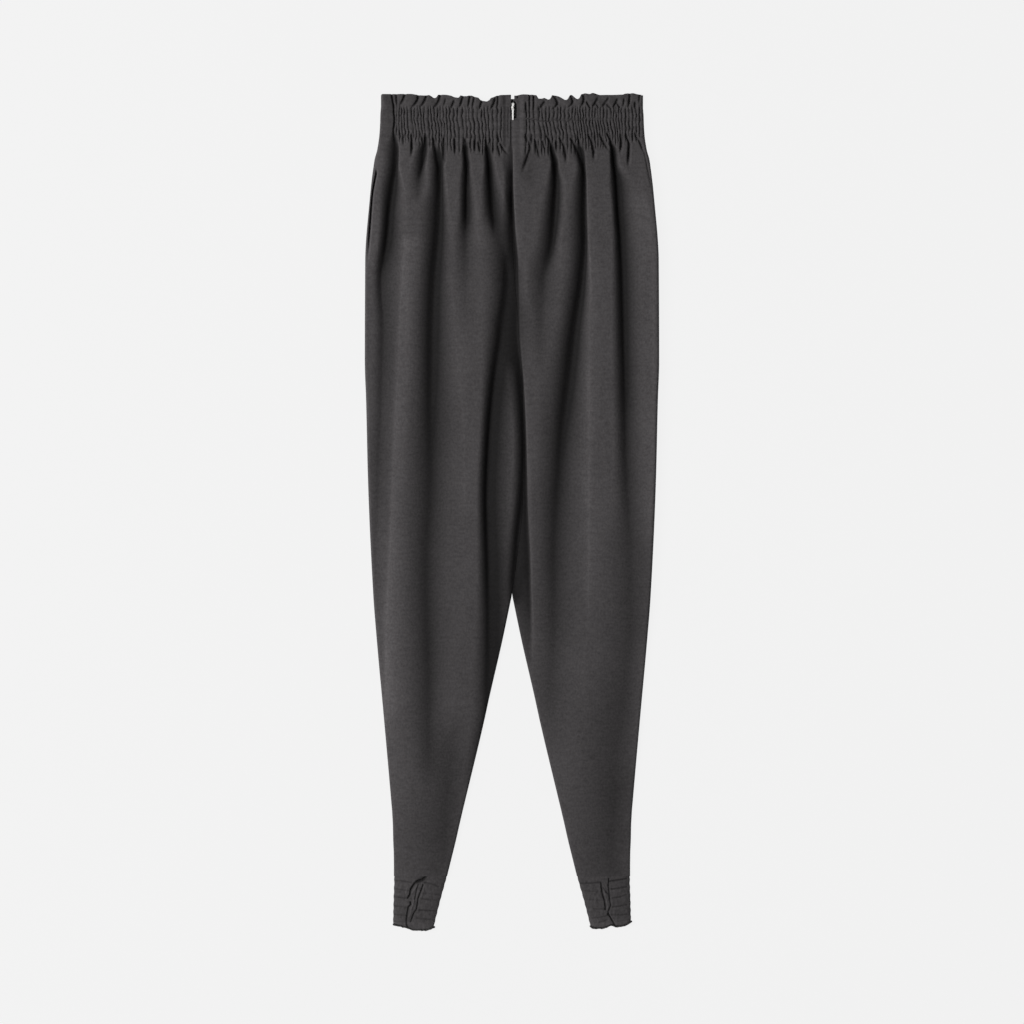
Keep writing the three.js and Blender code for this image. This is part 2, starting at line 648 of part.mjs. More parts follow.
function geometryOfSolid(solid) {
  const mesh = solid.getMesh();
  const geometry = new THREE.BufferGeometry();
  geometry.setAttribute("position", new THREE.BufferAttribute(mesh.vertProperties, 3));
  geometry.setIndex(new THREE.BufferAttribute(mesh.triVerts, 1));
  return geometry;
}

function block(xRange, yRange, zRange) {
  const size = [xRange, yRange, zRange].map(([low, high]) => high - low);
  const centre = [xRange, yRange, zRange].map(([low, high]) => (low + high) / 2);
  return new THREE.BoxGeometry(...size).translate(...centre);
}

const tapeZ = [FRONT_CLOTH + SEAM_GAP, FRONT_CLOTH + SEAM_GAP + TAPE.thick];
const tape = block([ZIP_X - TAPE.half, ZIP_X + TAPE.half], [TAPE.low, TAPE.high], tapeZ);
addPiece("zip_tape", tape, TAPE_BLACK);

// The slider's body rides on the tape; its arch stands out of the notch and holds the pull's bar.
function zipSlider() {
  const profile = new THREE.Shape();
  const shoulder = 0.9;
  profile.moveTo(SLIDER.low, SLIDER.bottom);
  profile.lineTo(SLIDER.high, SLIDER.bottom);
  profile.lineTo(SLIDER.high, SLIDER.top - shoulder);
  profile.lineTo(SLIDER.high - shoulder, SLIDER.top);
  profile.lineTo(SLIDER.low, SLIDER.top);
  profile.closePath();
  const arch = new THREE.Shape();
  const sunk = SLIDER.top - shoulder;
  arch.moveTo(ARCH.low, sunk);
  arch.lineTo(ARCH.high, sunk);
  arch.lineTo(ARCH.high, ARCH.top);
  arch.lineTo(ARCH.low, ARCH.top);
  arch.closePath();
  const window = new THREE.Path();
  window.moveTo(ARCH.low + ARCH.post, SLIDER.top);
  window.lineTo(ARCH.high - ARCH.post, SLIDER.top);
  window.lineTo(ARCH.high - ARCH.post, ARCH.top - ARCH.post);
  window.lineTo(ARCH.low + ARCH.post, ARCH.top - ARCH.post);
  window.closePath();
  arch.holes.push(window);
  const across = new THREE.Matrix4().makeBasis(
    new THREE.Vector3(0, 1, 0),
    new THREE.Vector3(0, 0, 1),
    new THREE.Vector3(1, 0, 0),
  );
  const cut = (shape, half) => {
    const geometry = new THREE.ExtrudeGeometry(shape, { depth: 2 * half, bevelEnabled: false });
    return geometry.applyMatrix4(across).translate(ZIP_X - half, 0, 0);
  };
  return geometryOfSolid(solidOf(cut(profile, SLIDER.half)).add(solidOf(cut(arch, ARCH.half))));
}
addPiece("zip_slider", zipSlider(), PALE_METAL);

function zipPull() {
  const tab = new THREE.Shape();
  const eyeShoulderY = PULL.eyeEnd - 0.6;
  const shoulderY = PULL.eyeEnd - 2;
  tab.moveTo(PULL.half, PULL.axisY + PULL.bar);
  tab.lineTo(-PULL.half, PULL.axisY + PULL.bar);
  tab.lineTo(-PULL.half, eyeShoulderY);
  tab.lineTo(-PULL.tabHalf, shoulderY);
  tab.absarc(0, PULL.tabEnd + PULL.tabHalf, PULL.tabHalf, Math.PI, 2 * Math.PI, false);
  tab.lineTo(PULL.tabHalf, shoulderY);
  tab.lineTo(PULL.half, eyeShoulderY);
  tab.closePath();
  const eye = new THREE.Path();
  const eyeHalf = ARCH.half + SEAM_GAP;
  eye.moveTo(-eyeHalf, PULL.eyeEnd);
  eye.lineTo(eyeHalf, PULL.eyeEnd);
  eye.lineTo(eyeHalf, PULL.axisY - PULL.bar);
  eye.lineTo(-eyeHalf, PULL.axisY - PULL.bar);
  eye.closePath();
  tab.holes.push(eye);
  const settings = { depth: PULL.thick, bevelEnabled: false, curveSegments: 8 };
  const geometry = new THREE.ExtrudeGeometry(tab, settings);
  return geometry.translate(ZIP_X, 0, PULL.axisZ - PULL.thick / 2);
}
addPiece("zip_pull", zipPull(), PALE_METAL);

export default group;
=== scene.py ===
"""Joggers laid flat, back side up: the looks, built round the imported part.

Lengths in the tables are millimetres. +X is the wearer's right, +Y the waist, +Z up from the floor.
"""

import math

import bpy
import numpy as np
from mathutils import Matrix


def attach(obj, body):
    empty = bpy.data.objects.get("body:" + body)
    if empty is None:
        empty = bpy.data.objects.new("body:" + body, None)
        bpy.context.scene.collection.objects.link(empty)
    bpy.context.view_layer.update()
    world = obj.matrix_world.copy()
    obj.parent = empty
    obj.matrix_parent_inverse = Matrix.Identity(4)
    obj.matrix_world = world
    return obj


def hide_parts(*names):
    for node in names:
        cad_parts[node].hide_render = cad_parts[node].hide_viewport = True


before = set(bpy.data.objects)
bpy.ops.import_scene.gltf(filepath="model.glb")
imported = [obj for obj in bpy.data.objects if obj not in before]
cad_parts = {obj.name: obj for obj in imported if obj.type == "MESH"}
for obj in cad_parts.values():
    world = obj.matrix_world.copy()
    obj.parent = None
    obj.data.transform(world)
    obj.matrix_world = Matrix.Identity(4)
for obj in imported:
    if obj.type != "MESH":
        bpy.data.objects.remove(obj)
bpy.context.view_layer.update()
MM = 0.001

# ---------- Sizes that the part's source has too ----------
FRONT_CLOTH = 1.6
BACK_CLOTH = 1.6
LAYER_GAP = 0.3
REST_TOP = FRONT_CLOTH + LAYER_GAP + BACK_CLOTH  # top of the back where it touches the front
CROTCH_Y = -102.5
LEG_END_Y = -452.7
EDGE_LOOP = 0.06  # a row of points this close to an end keeps the end's shading crisp
CUFF_TOP_Y = -452.72
ZIP_X = 0.95

# Outline of a half, y and x: its side edge, then the inside of the leg.
OUTER = [(520, 162.3), (512, 162.6), (502, 162.9), (492, 163.7), (482, 164), (468, 164.9), (450, 167.6),
    (437, 171.1), (387, 177.1), (312, 182.6), (188, 183.1), (139, 181.5), (39, 179.1), (-102.5, 172.6),
    (-160, 168.1), (-259, 159.1), (-358, 150.4), (-383, 148.4), (-408, 147.8), (-433, 146.9), (-458, 146.9),
    (-483, 147.6), (-520, 148.4)]
INNER = [(CROTCH_Y, 0), (-160, 12), (-234, 29), (-259, 34.4), (-358, 58), (-383, 64), (-408, 69.6),
    (-433, 75.8), (-458, 82), (-483, 88.8), (-520, 98)]
# Top of the frill, x and y.
HEADER_TOP = [(-163, 518.9), (-126, 519), (-119, 518.1), (-109, 517), (-104, 517.8), (-99, 515.4),
    (-97.5, 514), (-95.5, 513.6), (-91, 518.2), (-84, 518.1), (-76, 516.9), (-71, 514.9), (-66, 514.4),
    (-64, 517.2), (-57, 516.3), (-52, 517.3), (-45.4, 515.2), (-42, 514.4), (-39, 511.6), (-30.4, 509.7),
    (-28.6, 511), (-26, 514), (-23, 515), (-17, 517.4), (-2, 518.4), (3, 517.2), (13, 518.6), (30, 517.4),
    (33, 513.2), (36.7, 513.1), (40, 514), (45, 512), (48, 513.5), (50, 517.6), (58, 515.9), (63, 513.2),
    (66.5, 511.5), (68.5, 512.2), (73, 518.2), (80, 513.2), (82, 512.6), (84, 514.6), (86, 518.5),
    (90, 519.8), (96.3, 519), (100, 520.2), (110, 517.8), (137, 518.2), (141, 519.5), (150, 520),
    (156, 518.6), (160, 518.3), (163, 514.5)]
# Lower edge of the hems, x and y. Where a table has a half for each side, -1 is left and 1 is right.
HEM_LOW = {
    -1: [(-148.4, -513.8), (-141, -515.1), (-135, -516.8), (-129.8, -517.9), (-126.1, -519.2),
        (-122.4, -520.7), (-107, -520.7), (-101, -519), (-95.5, -516.6)],
    1: [(96.5, -515.2), (100, -517.9), (104, -518.4), (113, -518.2), (118.7, -516.4), (124, -514.4),
        (129.8, -516.2), (134, -516), (138, -515.4), (141, -514.5), (145, -512.7), (149.6, -509.4)],
}
SIDE_WORD = {-1: "left", 1: "right"}

# ---------- Folds of the back ----------
EDGE_ROUND = 5  # reach of the rounded edge
EDGE_POWER = 3.5  # how square the rounded edge is
RIM_HEIGHT = 2.2  # top of the cloth at its outline
LEG_CROWN = 0.6  # how much lower a leg's sides are than its middle
# Height of the puffed cloth between the folds, y and z.
PLATEAU = [(470, 8), (440, 10.4), (415, 12), (240, 12.6), (60, 12), (-110, 10.8), (-260, 9), (-400, 7.4),
    (-455, 6)]
# Each fold has a power for each flank, which says how it steepens towards the lowest line, and runs down the
# leg through rows of: y, x of its lowest line, reach of its left and right flank, and depth share.
FOLDS = {
    "outer_left": (2.1, 1.7, [
        (474, -146.4, 3, 2, 0), (464, -145, 6, 2.4, 0.7), (450, -142.4, 15, 2.6, 0.97),
        (431, -143.2, 15, 2.8, 1), (406, -147, 14, 10, 1), (375, -151.5, 11, 15, 0.97),
        (338, -155, 9.5, 22, 0.93), (288, -162, 9, 30, 0.56), (226, -159, 11, 32, 0.42),
        (164, -160.5, 12, 31, 0.38), (89, -163, 12, 30, 0.31), (15, -165, 12, 28, 0.22),
        (-60, -168, 10, 26, 0.08), (-120, -169, 9, 26, 0)]),
    "second_left": (2.1, 2.1, [
        (466, -106.9, 4.6, 3, 0.5), (450, -108.5, 9, 4, 1), (431, -111.5, 11, 5, 0.68),
        (406, -114, 13, 10, 0.35), (380, -116, 13, 10, 0)]),
    "middle_left": (2.1, 2.1, [
        (456, -93.5, 4, 7, 0), (444, -91, 10.5, 8.5, 0.9), (431, -88, 13, 4, 1), (406, -88.3, 14, 6.5, 1),
        (375, -89, 23, 10, 1), (338, -91.2, 24, 17, 1), (288, -95.8, 27, 26, 0.98),
        (226, -98.5, 28, 35, 0.95), (164, -99.5, 31, 41, 0.88), (89, -100.5, 42, 44, 0.75),
        (15, -101.5, 46, 44, 0.65), (-60, -105.5, 42, 40, 0.6), (-134, -104.5, 42, 42, 0.6),
        (-200, -103, 44, 36, 0.57), (-234, -103, 42, 32, 0.52), (-280, -103, 38, 28, 0.44),
        (-310, -103, 36, 26, 0.3), (-345, -103, 34, 24, 0)]),
    "shin_left": (1.4, 1.6, [
        (-240, -64, 20, 20, 0), (-300, -76, 40, 32, 0.3), (-358, -80, 56, 30, 0.4),
        (-400, -82, 60, 24, 0.38), (-430, -86, 60, 24, 0.28), (-453, -92, 58, 24, 0.2)]),
    "inner_left": (2.1, 2.1, [
        (460, -57.5, 3.3, 3.3, 0), (450, -57.5, 4.5, 4.5, 1), (431, -55, 6.5, 4, 0.96),
        (406, -55.7, 8, 8, 0.88), (375, -56, 8.5, 12, 0.88), (338, -56.3, 13, 15, 0.44),
        (288, -56.3, 16, 16, 0.2), (215, -56, 16, 16, 0)]),
    "centre_left": (2.1, 1.4, [
        (458, -31, 3.3, 3.3, 0), (450, -30.4, 5, 5, 0.9), (431, -28, 6, 6, 1), (406, -26.8, 9, 10, 0.84),
        (375, -24.4, 11, 17, 0.82), (338, -14, 20, 24, 0.52), (288, -4, 29, 18, 0.95),
        (226, -11.5, 22, 36, 0.97), (164, -21, 13, 38, 0.97), (89, -28.2, 10, 37, 0.96),
        (15, -31, 10, 37, 0.96), (-60, -28.8, 11.5, 40, 0.97), (-134, -27.4, 14, 44, 0.93),
        (-234, -28, 19, 20, 0.95), (-300, -42, 12, 9, 0.6), (-350, -54, 10, 6, 0)]),
    "seam": (1.5, 2, [
        (489, -0.9, 1.5, 1.2, 0), (485, -0.9, 1.5, 1.2, 0.5), (457, -0.8, 1.8, 1.2, 0.5),
        (450, -0.1, 5, 1.3, 0.5), (441, 0.4, 8, 1.3, 0.52), (431, 0.5, 10, 1.3, 0.58),
        (418, 0.6, 8, 1.3, 0.75), (406, 0.7, 8, 1.3, 0.76), (388, 1.3, 9, 1.3, 0.98), (368, 2.2, 11, 1.4, 1),
        (350, 3, 13, 1.5, 1), (338, 3.9, 14, 1.8, 1), (310, 5.4, 12, 2.7, 0.98), (288, 5.6, 13, 3, 0.97),
        (226, 6.2, 24, 4, 0.97), (164, 13, 13, 1.6, 1), (89, 16.8, 11, 1.4, 1), (15, 18, 15, 1.4, 1),
        (-60, 21, 26, 2.5, 0.76), (-110, 22.2, 30, 3, 0.62), (-134, 22.8, 30, 3.5, 0.48),
        (-210, 21, 28, 4, 0)]),
    "under_seam": (2.1, 2.1, [
        (75, 17, 6, 5, 0), (15, 13.5, 8, 9, 0.6), (-30, 8.8, 10, 14, 0.9), (-60, 6.4, 10, 17, 0.95),
        (-90, 3.5, 9, 17, 0.88), (-103, 3.5, 9, 16, 0.75), (-120, 6, 8, 12, 0)]),
    "inner_right": (2.1, 2.1, [
        (460, 48, 3.3, 3.3, 0), (450, 50, 5.5, 4, 1), (431, 55.4, 7, 3, 1), (406, 55.4, 11, 9.5, 1),
        (375, 54, 15, 11, 1), (338, 51, 19, 9, 0.9), (288, 40, 22, 18, 0.46), (226, 37, 28, 22, 0.22),
        (164, 36, 28, 22, 0)]),
    "hip_right": (1.6, 1.6, [
        (456, 20, 12, 12, 0), (440, 19, 14, 18, 0.2), (425, 22, 16, 22, 0.2), (396, 26, 14, 20, 0)]),
    "middle_right": (2.1, 2.1, [
        (458, 80.5, 5, 3, 0), (450, 86.5, 12, 4, 0.95), (431, 90, 8.5, 1.5, 1), (406, 91.6, 14, 1.3, 1),
        (375, 91.4, 18, 2, 1), (338, 92, 20, 2.6, 1), (288, 88, 22, 9, 1), (226, 79, 24, 18, 1),
        (164, 72, 32, 26, 0.96), (89, 62, 33, 36, 0.79), (15, 56, 30, 40, 0.67), (-60, 53, 29, 40, 0.58),
        (-134, 53, 34, 38, 0.42), (-234, 48, 34, 34, 0.22), (-320, 47, 34, 34, 0)]),
    "outer_right": (2.1, 2.1, [
        (462, 121, 3.3, 3.3, 0), (450, 126.5, 5, 4.5, 0.97), (431, 127.8, 5.5, 6, 0.96),
        (406, 130.8, 8, 20, 0.97), (375, 132.2, 7, 24, 0.97), (338, 135.4, 9, 25, 0.9),
        (288, 137.8, 11, 26, 0.86), (226, 139.4, 12, 26, 0.84), (164, 140.8, 13, 26, 0.79),
        (89, 142, 13, 26, 0.6), (15, 145, 18, 28, 0.47), (-60, 149, 42, 36, 0.37), (-134, 149, 48, 34, 0.34),
        (-200, 144, 52, 32, 0.32), (-260, 138, 52, 32, 0.2), (-310, 134, 50, 32, 0)]),
    "shin_right": (1.4, 1.5, [
        (-190, 134, 50, 30, 0), (-260, 131, 50, 32, 0.2), (-310, 128, 54, 34, 0.32),
        (-358, 127, 58, 32, 0.39), (-400, 126, 56, 28, 0.35), (-453, 124, 50, 26, 0.26)]),
}
FOLD_ROUND = 3.2  # rounding of a fold's lowest line
FOLD_SHADE = 0.82  # how much painted shade darkens the bottom of a fold
FOLD_SHADE_FULL = 0.72  # depth share at which a fold's painted shade is whole
FOLD_SHADE_POWER = 0.9
CREASE_SHADE = 0.5  # how much painted shade darkens the bottoms of short creases, the frill and the pleats
ROW_SHADE = 0.12  # how much painted shade darkens the elastic rows
WAIST_SHADE = 0.07  # how much painted shade darkens the gathered waist, which catches less light than the legs
STRIP_SHADE = 0.16  # and the plain strip beside the left side seam, also painted shade

# Soft crests, lit with a painted highlight: how much, how far that reaches on the left and on the right,
# the rise of the cloth there, and the points of the crest's line, y and x.
CRESTS = [
    (0.45, 3.2, 17, 0.5, [(345, -131.5), (338, -132.4), (288, -136), (226, -139.5), (164, -142), (89, -146),
        (15, -148.5), (-60, -151.5), (-134, -155.3), (-234, -157.2), (-300, -155)]),
    (0.12, 7, 9, 0.1, [(20, -164), (-60, -160), (-134, -158), (-234, -154), (-330, -148), (-400, -144)]),
    (0.26, 3, 8, 0.5, [(420, 92.5), (406, 93.6), (375, 95.2), (338, 97), (288, 97.4), (226, 96.4), (-66, 96),
        (-180, 95)]),
    (0.15, 12, 16, 0.2, [(210, 95), (150, 94), (90, 91), (30, 91), (-30, 90)]),
    (0.1, 3, 9, 0.3, [(390, -44), (375, -45), (338, -40.5), (310, -38)]),
    (0.1, 2.5, 5, 0.2, [(310, -76), (288, -75.5), (226, -70), (164, -65), (89, -58.5), (15, -58.5),
        (-20, -60)]),
    (0.26, 0.8, 2.6, 0.1, [(491, 1.2), (485, 1.2), (452, 1.2), (436, 1.9), (406, 2.4), (387, 3.2),
        (368, 4.2), (350, 5.4), (338, 6.6), (310, 9), (295, 10)]),
    (0.14, 1, 4, 0.2, [(184, 15.6), (164, 16), (89, 19.2), (15, 20.6), (-10, 21.6)]),
    (0.26, 4, 9, 0.2, [(460, -164), (440, -166), (406, -169), (375, -172), (338, -176), (270, -178)]),
    (0.2, 1, 4, 0.2, [(466, -141.4), (457, -140.6), (431, -140.4), (406, -134), (375, -131), (350, -131)]),
    (0.4, 12, 7, 0.2, [(410, 164), (375, 168), (338, 173), (288, 176), (89, 175), (0, 172), (-60, 169)]),
    (0.3, 8, 7, 0.1, [(-110, 166), (-200, 160), (-300, 153), (-340, 150)]),
]

# Short creases and gaps between the gathers, with painted shade in their bottoms: depth share, half width at
# the top and at the bottom, and the points of the line, x and y.
CREASES = [
    (0.4, 0.8, 0.8, [(-4.2, 502), (-4.4, 480), (-4.2, 452)]),
    (0.5, 0.8, 0.8, [(-1.6, 503), (-1.4, 488)]),
    (0.95, 1.6, 3.2, [(-107.5, 468), (-107, 452), (-110, 432), (-116.2, 408)]),
    (0.9, 1.3, 1.8, [(-124.7, 468), (-124, 452), (-125, 440)]),
    (0.5, 1.2, 1.5, [(-134, 467), (-134.8, 455)]),
    (0.6, 1.2, 1.6, [(-113, 470), (-111, 460)]),
    (0.92, 1.5, 3.4, [(-97.5, 464), (-92.9, 439), (-90, 424), (-93, 405)]),
    (0.92, 1.5, 3, [(-84.4, 464), (-84.7, 440), (-89, 424)]),
    (0.5, 1.1, 1.2, [(-93.7, 464), (-93.5, 457)]),
    (0.5, 1.1, 1.2, [(-89.4, 464), (-89.2, 457)]),
    (0.8, 1.3, 1.8, [(-71.1, 463), (-70.4, 443)]),
    (0.95, 1.5, 3, [(-57.9, 463), (-56.7, 438), (-56.5, 420)]),
    (0.5, 1.1, 1.3, [(-51.6, 458), (-51.4, 450)]),
    (0.8, 1.2, 1.6, [(-46.2, 460), (-46, 447)]),
    (0.75, 1.2, 1.6, [(-41.6, 459), (-39.6, 447)]),
    (0.95, 1.5, 3.4, [(-32.4, 461), (-28, 439), (-25, 400), (-20.5, 334)]),
    (0.6, 1.2, 1.5, [(-26.7, 463), (-26.3, 449)]),
    (0.7, 1.2, 1.6, [(-23.3, 458), (-23, 442)]),
    (0.7, 1.2, 1.5, [(-17.9, 467), (-14.8, 456)]),
    (0.7, 1.2, 1.6, [(-17, 454), (-14, 440)]),
    (0.85, 1.1, 1.6, [(-13.6, 456), (-9.3, 449), (-3.1, 443)]),
    (0.7, 1.2, 1.5, [(17.5, 468), (19.6, 457)]),
    (0.6, 1.2, 1.4, [(24.9, 468), (24.9, 456)]),
    (0.7, 1.3, 3, [(21.4, 460), (22.6, 452), (20.6, 444), (15.5, 428), (13, 418)]),
    (0.85, 1.3, 2.2, [(28.6, 462), (31.6, 452), (35, 438)]),
    (0.5, 1.1, 1.3, [(33.2, 461), (33.6, 448)]),
    (0.8, 1.2, 1.6, [(38.6, 460), (41.2, 448)]),
    (0.95, 1.5, 3, [(43.2, 467), (48.6, 457), (51.7, 441), (54.4, 408)]),
    (0.7, 1.2, 1.5, [(54.9, 460), (55.3, 448)]),
    (0.85, 1.4, 2.2, [(59.5, 464), (64.9, 453), (67.3, 440), (67.5, 431)]),
    (0.95, 1.5, 3.2, [(73.6, 463), (78.9, 454), (84.3, 443), (89.3, 424)]),
    (0.85, 1.3, 2, [(81.8, 466), (84.3, 456), (88, 449)]),
    (0.92, 1.5, 2.2, [(95, 468), (99.5, 458), (102, 445), (102, 434)]),
    (0.5, 1.1, 1.2, [(103, 467), (103.2, 459)]),
    (0.88, 1.3, 1.9, [(109, 469), (114.3, 458.6), (121.2, 448)]),
    (0.95, 1.4, 2.8, [(118.4, 470), (123.3, 459), (125.2, 448), (126.6, 422)]),
    (0.8, 1.4, 1.9, [(135.2, 468), (136, 458), (134.2, 444)]),
    (0.85, 1.3, 2.2, [(141.7, 468), (145.7, 456), (145, 442), (144.6, 426)]),
    (0.5, 1.1, 1.3, [(149.8, 466), (150.4, 459)]),
    (0.55, 1.3, 1.6, [(152.6, 470), (159.3, 458.6), (164.6, 444)]),
    (0.15, 1.2, 1.6, [(164.6, 446), (169.6, 421), (174.3, 396)]),
]

# Folded edges of the frilled header, from their tops to the shirring, with painted shade in their bottoms:
# depth share, half width and points.
FRILL = [
    (0.6, 0.9, [(-1.6, 518), (-1.4, 514)]),
    (0.85, 1.1, [(5.4, 518), (7.6, 516), (6.6, 513)]),
    (0.7, 1.3, [(-143.4, 519), (-142.4, 502)]),
    (0.9, 1.5, [(-132.4, 520), (-134.5, 513), (-140.3, 502)]),
    (0.95, 1.6, [(-115.6, 520), (-116.6, 513), (-127, 498)]),
    (0.9, 1.5, [(-104.6, 520), (-108, 511), (-115.6, 499)]),
    (0.95, 1.6, [(-88.6, 518), (-90, 512), (-99, 498)]),
    (0.5, 1.3, [(-82, 512), (-84.8, 503)]),
    (0.8, 1.4, [(-71.6, 510), (-76.9, 498)]),
    (0.9, 1.5, [(-59.4, 519), (-66, 498)]),
    (0.85, 1.4, [(-51.6, 519), (-54.6, 499)]),
    (0.6, 1.3, [(-46.6, 514), (-49.8, 498)]),
    (0.95, 1.5, [(-36.8, 511), (-41.3, 497)]),
    (0.95, 1.6, [(-20.6, 513), (-22, 508), (-28, 497)]),
    (0.9, 1.4, [(-17, 520), (-18, 499)]),
    (0.75, 1.2, [(17.5, 508), (17.7, 497)]),
    (0.8, 1.2, [(22.2, 518), (22.2, 497)]),
    (0.85, 1.3, [(27.2, 516), (27.5, 497)]),
    (0.9, 1.5, [(40.6, 509), (32.3, 497)]),
    (0.95, 1.6, [(52, 517), (56.8, 508), (47.6, 497)]),
    (0.95, 1.5, [(73, 518), (75.8, 509), (67.5, 500)]),
    (0.95, 1.7, [(88.2, 521), (89.6, 512), (84, 499)]),
    (0.85, 1.3, [(92.9, 509), (98.4, 500)]),
    (0.85, 1.4, [(106.6, 513), (98.6, 500)]),
    (0.7, 1.3, [(104.4, 507), (109.5, 500)]),
    (0.85, 1.4, [(119.6, 513), (110.4, 500)]),
    (0.8, 1.3, [(118.4, 506), (123.6, 500)]),
    (0.85, 1.4, [(131.2, 512), (125, 500)]),
    (0.8, 1.3, [(130.4, 508), (136, 500)]),
    (0.6, 1.3, [(139.5, 512), (138, 501)]),
    (0.95, 1.4, [(146.7, 521), (145.8, 508), (143.6, 500)]),
    (0.8, 1.6, [(153.4, 508), (152.6, 500)]),
    (0.7, 1.3, [(159, 520), (158, 506)]),
]

# Gaps between the pleats of the shirring, across its middle.
PLEATS = {
    -1: [-142.6, -139.6, -136.6, -133.5, -129.7, -124.4, -120.8, -116.5, -113.1, -108.8, -103.7, -99.9, -96,
        -91.7, -88.2, -84.8, -81.2, -77, -72.2, -67.2, -61.4, -57, -52.4, -47.8, -41.9, -37.3, -33.4, -29.2,
        -23.3, -17.4, -13],
    1: [17.9, 22.2, 27.5, 33.9, 38.5, 42.2, 46.8, 52.5, 56.8, 61, 66.5, 71.1, 75.8, 79, 82.2, 85.4, 88.6,
        92.2, 96.8, 100.6, 103.8, 107, 110.4, 113.9, 119, 122.9, 126.7, 129.8, 132.9, 136.2, 141.5, 145.7,
        150.2, 154.6, 158.6],
}
PLEAT_SEEDS = {-1: 5, 1: 9}
# Heights at which a gap shifts and deepens anew.
PLEAT_LEVELS = [520, 503, 497.5, 492, 487.3, 482, 476.8, 472, 466.6, 462, 457, 450, 440, 425]
WEAK_SHARE = 0.16  # of the gaps, the share that is shallow at a level
PLEAT_DEPTH = 0.85
PLEAT_POWER = 1.8  # how square a pleat is across
LAST_PLEAT_REACH = 2.4  # how far the outermost gaps reach into the plain cloth
ELASTIC_ROWS = [497.5, 487.3, 476.8, 466.6, 457]
ROW_HALF = 1.5
ROW_DEPTH = 0.3  # share of the height that a row takes
ROW_EASE_PLAIN = 0.12  # how much less it takes where the cloth is plain
WAIST_LOW_CENTRE = 448.5  # lower edge of the shirring at the centre
WAIST_LOW_RISE = 15.5  # how much higher it is at the sides
WAIST_BLEND = 26  # how far the waist blends into the legs
WAIST_LIFT = 1.2  # how far the zip tape and the gathers lift the waist
BAND_HEIGHT = 3.4  # of the shirred band
FRILL_HEIGHT = 3.6
POCKET_SINK = 0.35  # how much lower the cloth is outside the pocket opening; it also gets painted shade there
SIDE_SEAM_X = -146.8  # where the front waist meets the shirring, on the left
# Lines of the side seam and the pocket opening on the left, x and y.
SIDE_SEAM = [(-149.4, 519), (-148, 511), (-146.6, 504), (-146.4, 496), (-145.6, 489), (-145.8, 481),
    (-146.8, 474), (-146.2, 466), (-145.2, 458), (-145.2, 448)]
POCKET_SLIT = [(-168.4, 421), (-173.3, 393), (-176, 358), (-178.3, 326), (-181, 296)]


# ---------- Curves ----------
def soft(low, high, value):
    """Smooth step from 0 at `low` to 1 at `high`, which may be the lesser of the two."""
    share = np.clip((value - low) / (high - low), 0, 1)
    return share * share * (3 - 2 * share)


def curve(table, at):
    """Value at each place of a table of (place, value), on a soft curve that never overshoots."""
    rows = np.array(sorted(table), float)
    place, value = rows[:, 0], rows[:, 1]
    at = np.clip(at, place[0], place[-1])
    k = np.clip(np.searchsorted(place, at) - 1, 0, len(place) - 2)
    steps = np.diff(value) / np.diff(place)
    slope = np.concatenate([steps[:1], np.zeros(len(place) - 2), steps[-1:]])
    product = steps[:-1] * steps[1:]
    total = steps[:-1] + steps[1:]
    slope[1:-1] = np.where(product > 0, 2 * product / np.where(total == 0, 1, total), 0)
    span = place[k + 1] - place[k]
    t = (at - place[k]) / span
    rise = value[k + 1] - value[k]
    bend = (1 - t) * (slope[k] * span - rise) - t * (slope[k + 1] * span - rise)
    return value[k] + rise * t + t * (1 - t) * bend


def line_x(line, y):
    """x at each y of a line of points (x, y)."""
    return curve([(point_y, point_x) for point_x, point_y in line], y)


def waist_low(x):
    """Lower edge of the shirring."""
    return WAIST_LOW_CENTRE + WAIST_LOW_RISE * soft(70, 150, np.abs(x))


def noise_1d(seed, at, size):
    """Smooth unevenness between -1 and 1 along a line."""
    knots = np.random.default_rng(seed).uniform(-1, 1, 400)
    place = at / size + 200
    k = np.clip(np.floor(place).astype(int), 0, 398)
    t = place - k
    t = t * t * (3 - 2 * t)
    return knots[k] * (1 - t) + knots[k + 1] * t


def noise_2d(seed, x, y, size_x, size_y):
    """The same over an area."""
    knots = np.random.default_rng(seed).uniform(-1, 1, (300, 300))
    place_x, place_y = x / size_x + 150, y / size_y + 150
    i = np.clip(np.floor(place_x).astype(int), 0, 298)
    j = np.clip(np.floor(place_y).astype(int), 0, 298)
    s, t = place_x - i, place_y - j
    s, t = s * s * (3 - 2 * s), t * t * (3 - 2 * t)
    low = knots[i, j] * (1 - s) + knots[i + 1, j] * s
    high = knots[i, j + 1] * (1 - s) + knots[i + 1, j + 1] * s
    return low * (1 - t) + high * t


# ---------- Height of the back ----------
def fold_factor(x, y):
    """Share of the cloth's height that the folds leave."""
    left = np.ones_like(x)
    for left_power, right_power, rows in FOLDS.values():
        levels = [row[0] for row in rows]
        near = (y < levels[0]) & (y > levels[-1])
        if not near.any():
            continue
        ys = y[near]
        middle, left_reach, right_reach, depth = (
            curve(list(zip(levels, [row[k] for row in rows])), ys) for k in range(1, 5))
        away = x[near] - middle
        reach = np.where(away < 0, left_reach, right_reach)
        power = np.where(away < 0, left_power, right_power)
        rounding = np.clip(0.25 * reach, 0.3, FOLD_ROUND)
        away = np.hypot(away, rounding) - rounding
        reach = reach + rounding / 2
        left[near] *= 1 - depth * (1 - np.clip(away / reach, 0, 1)) ** power
    return left


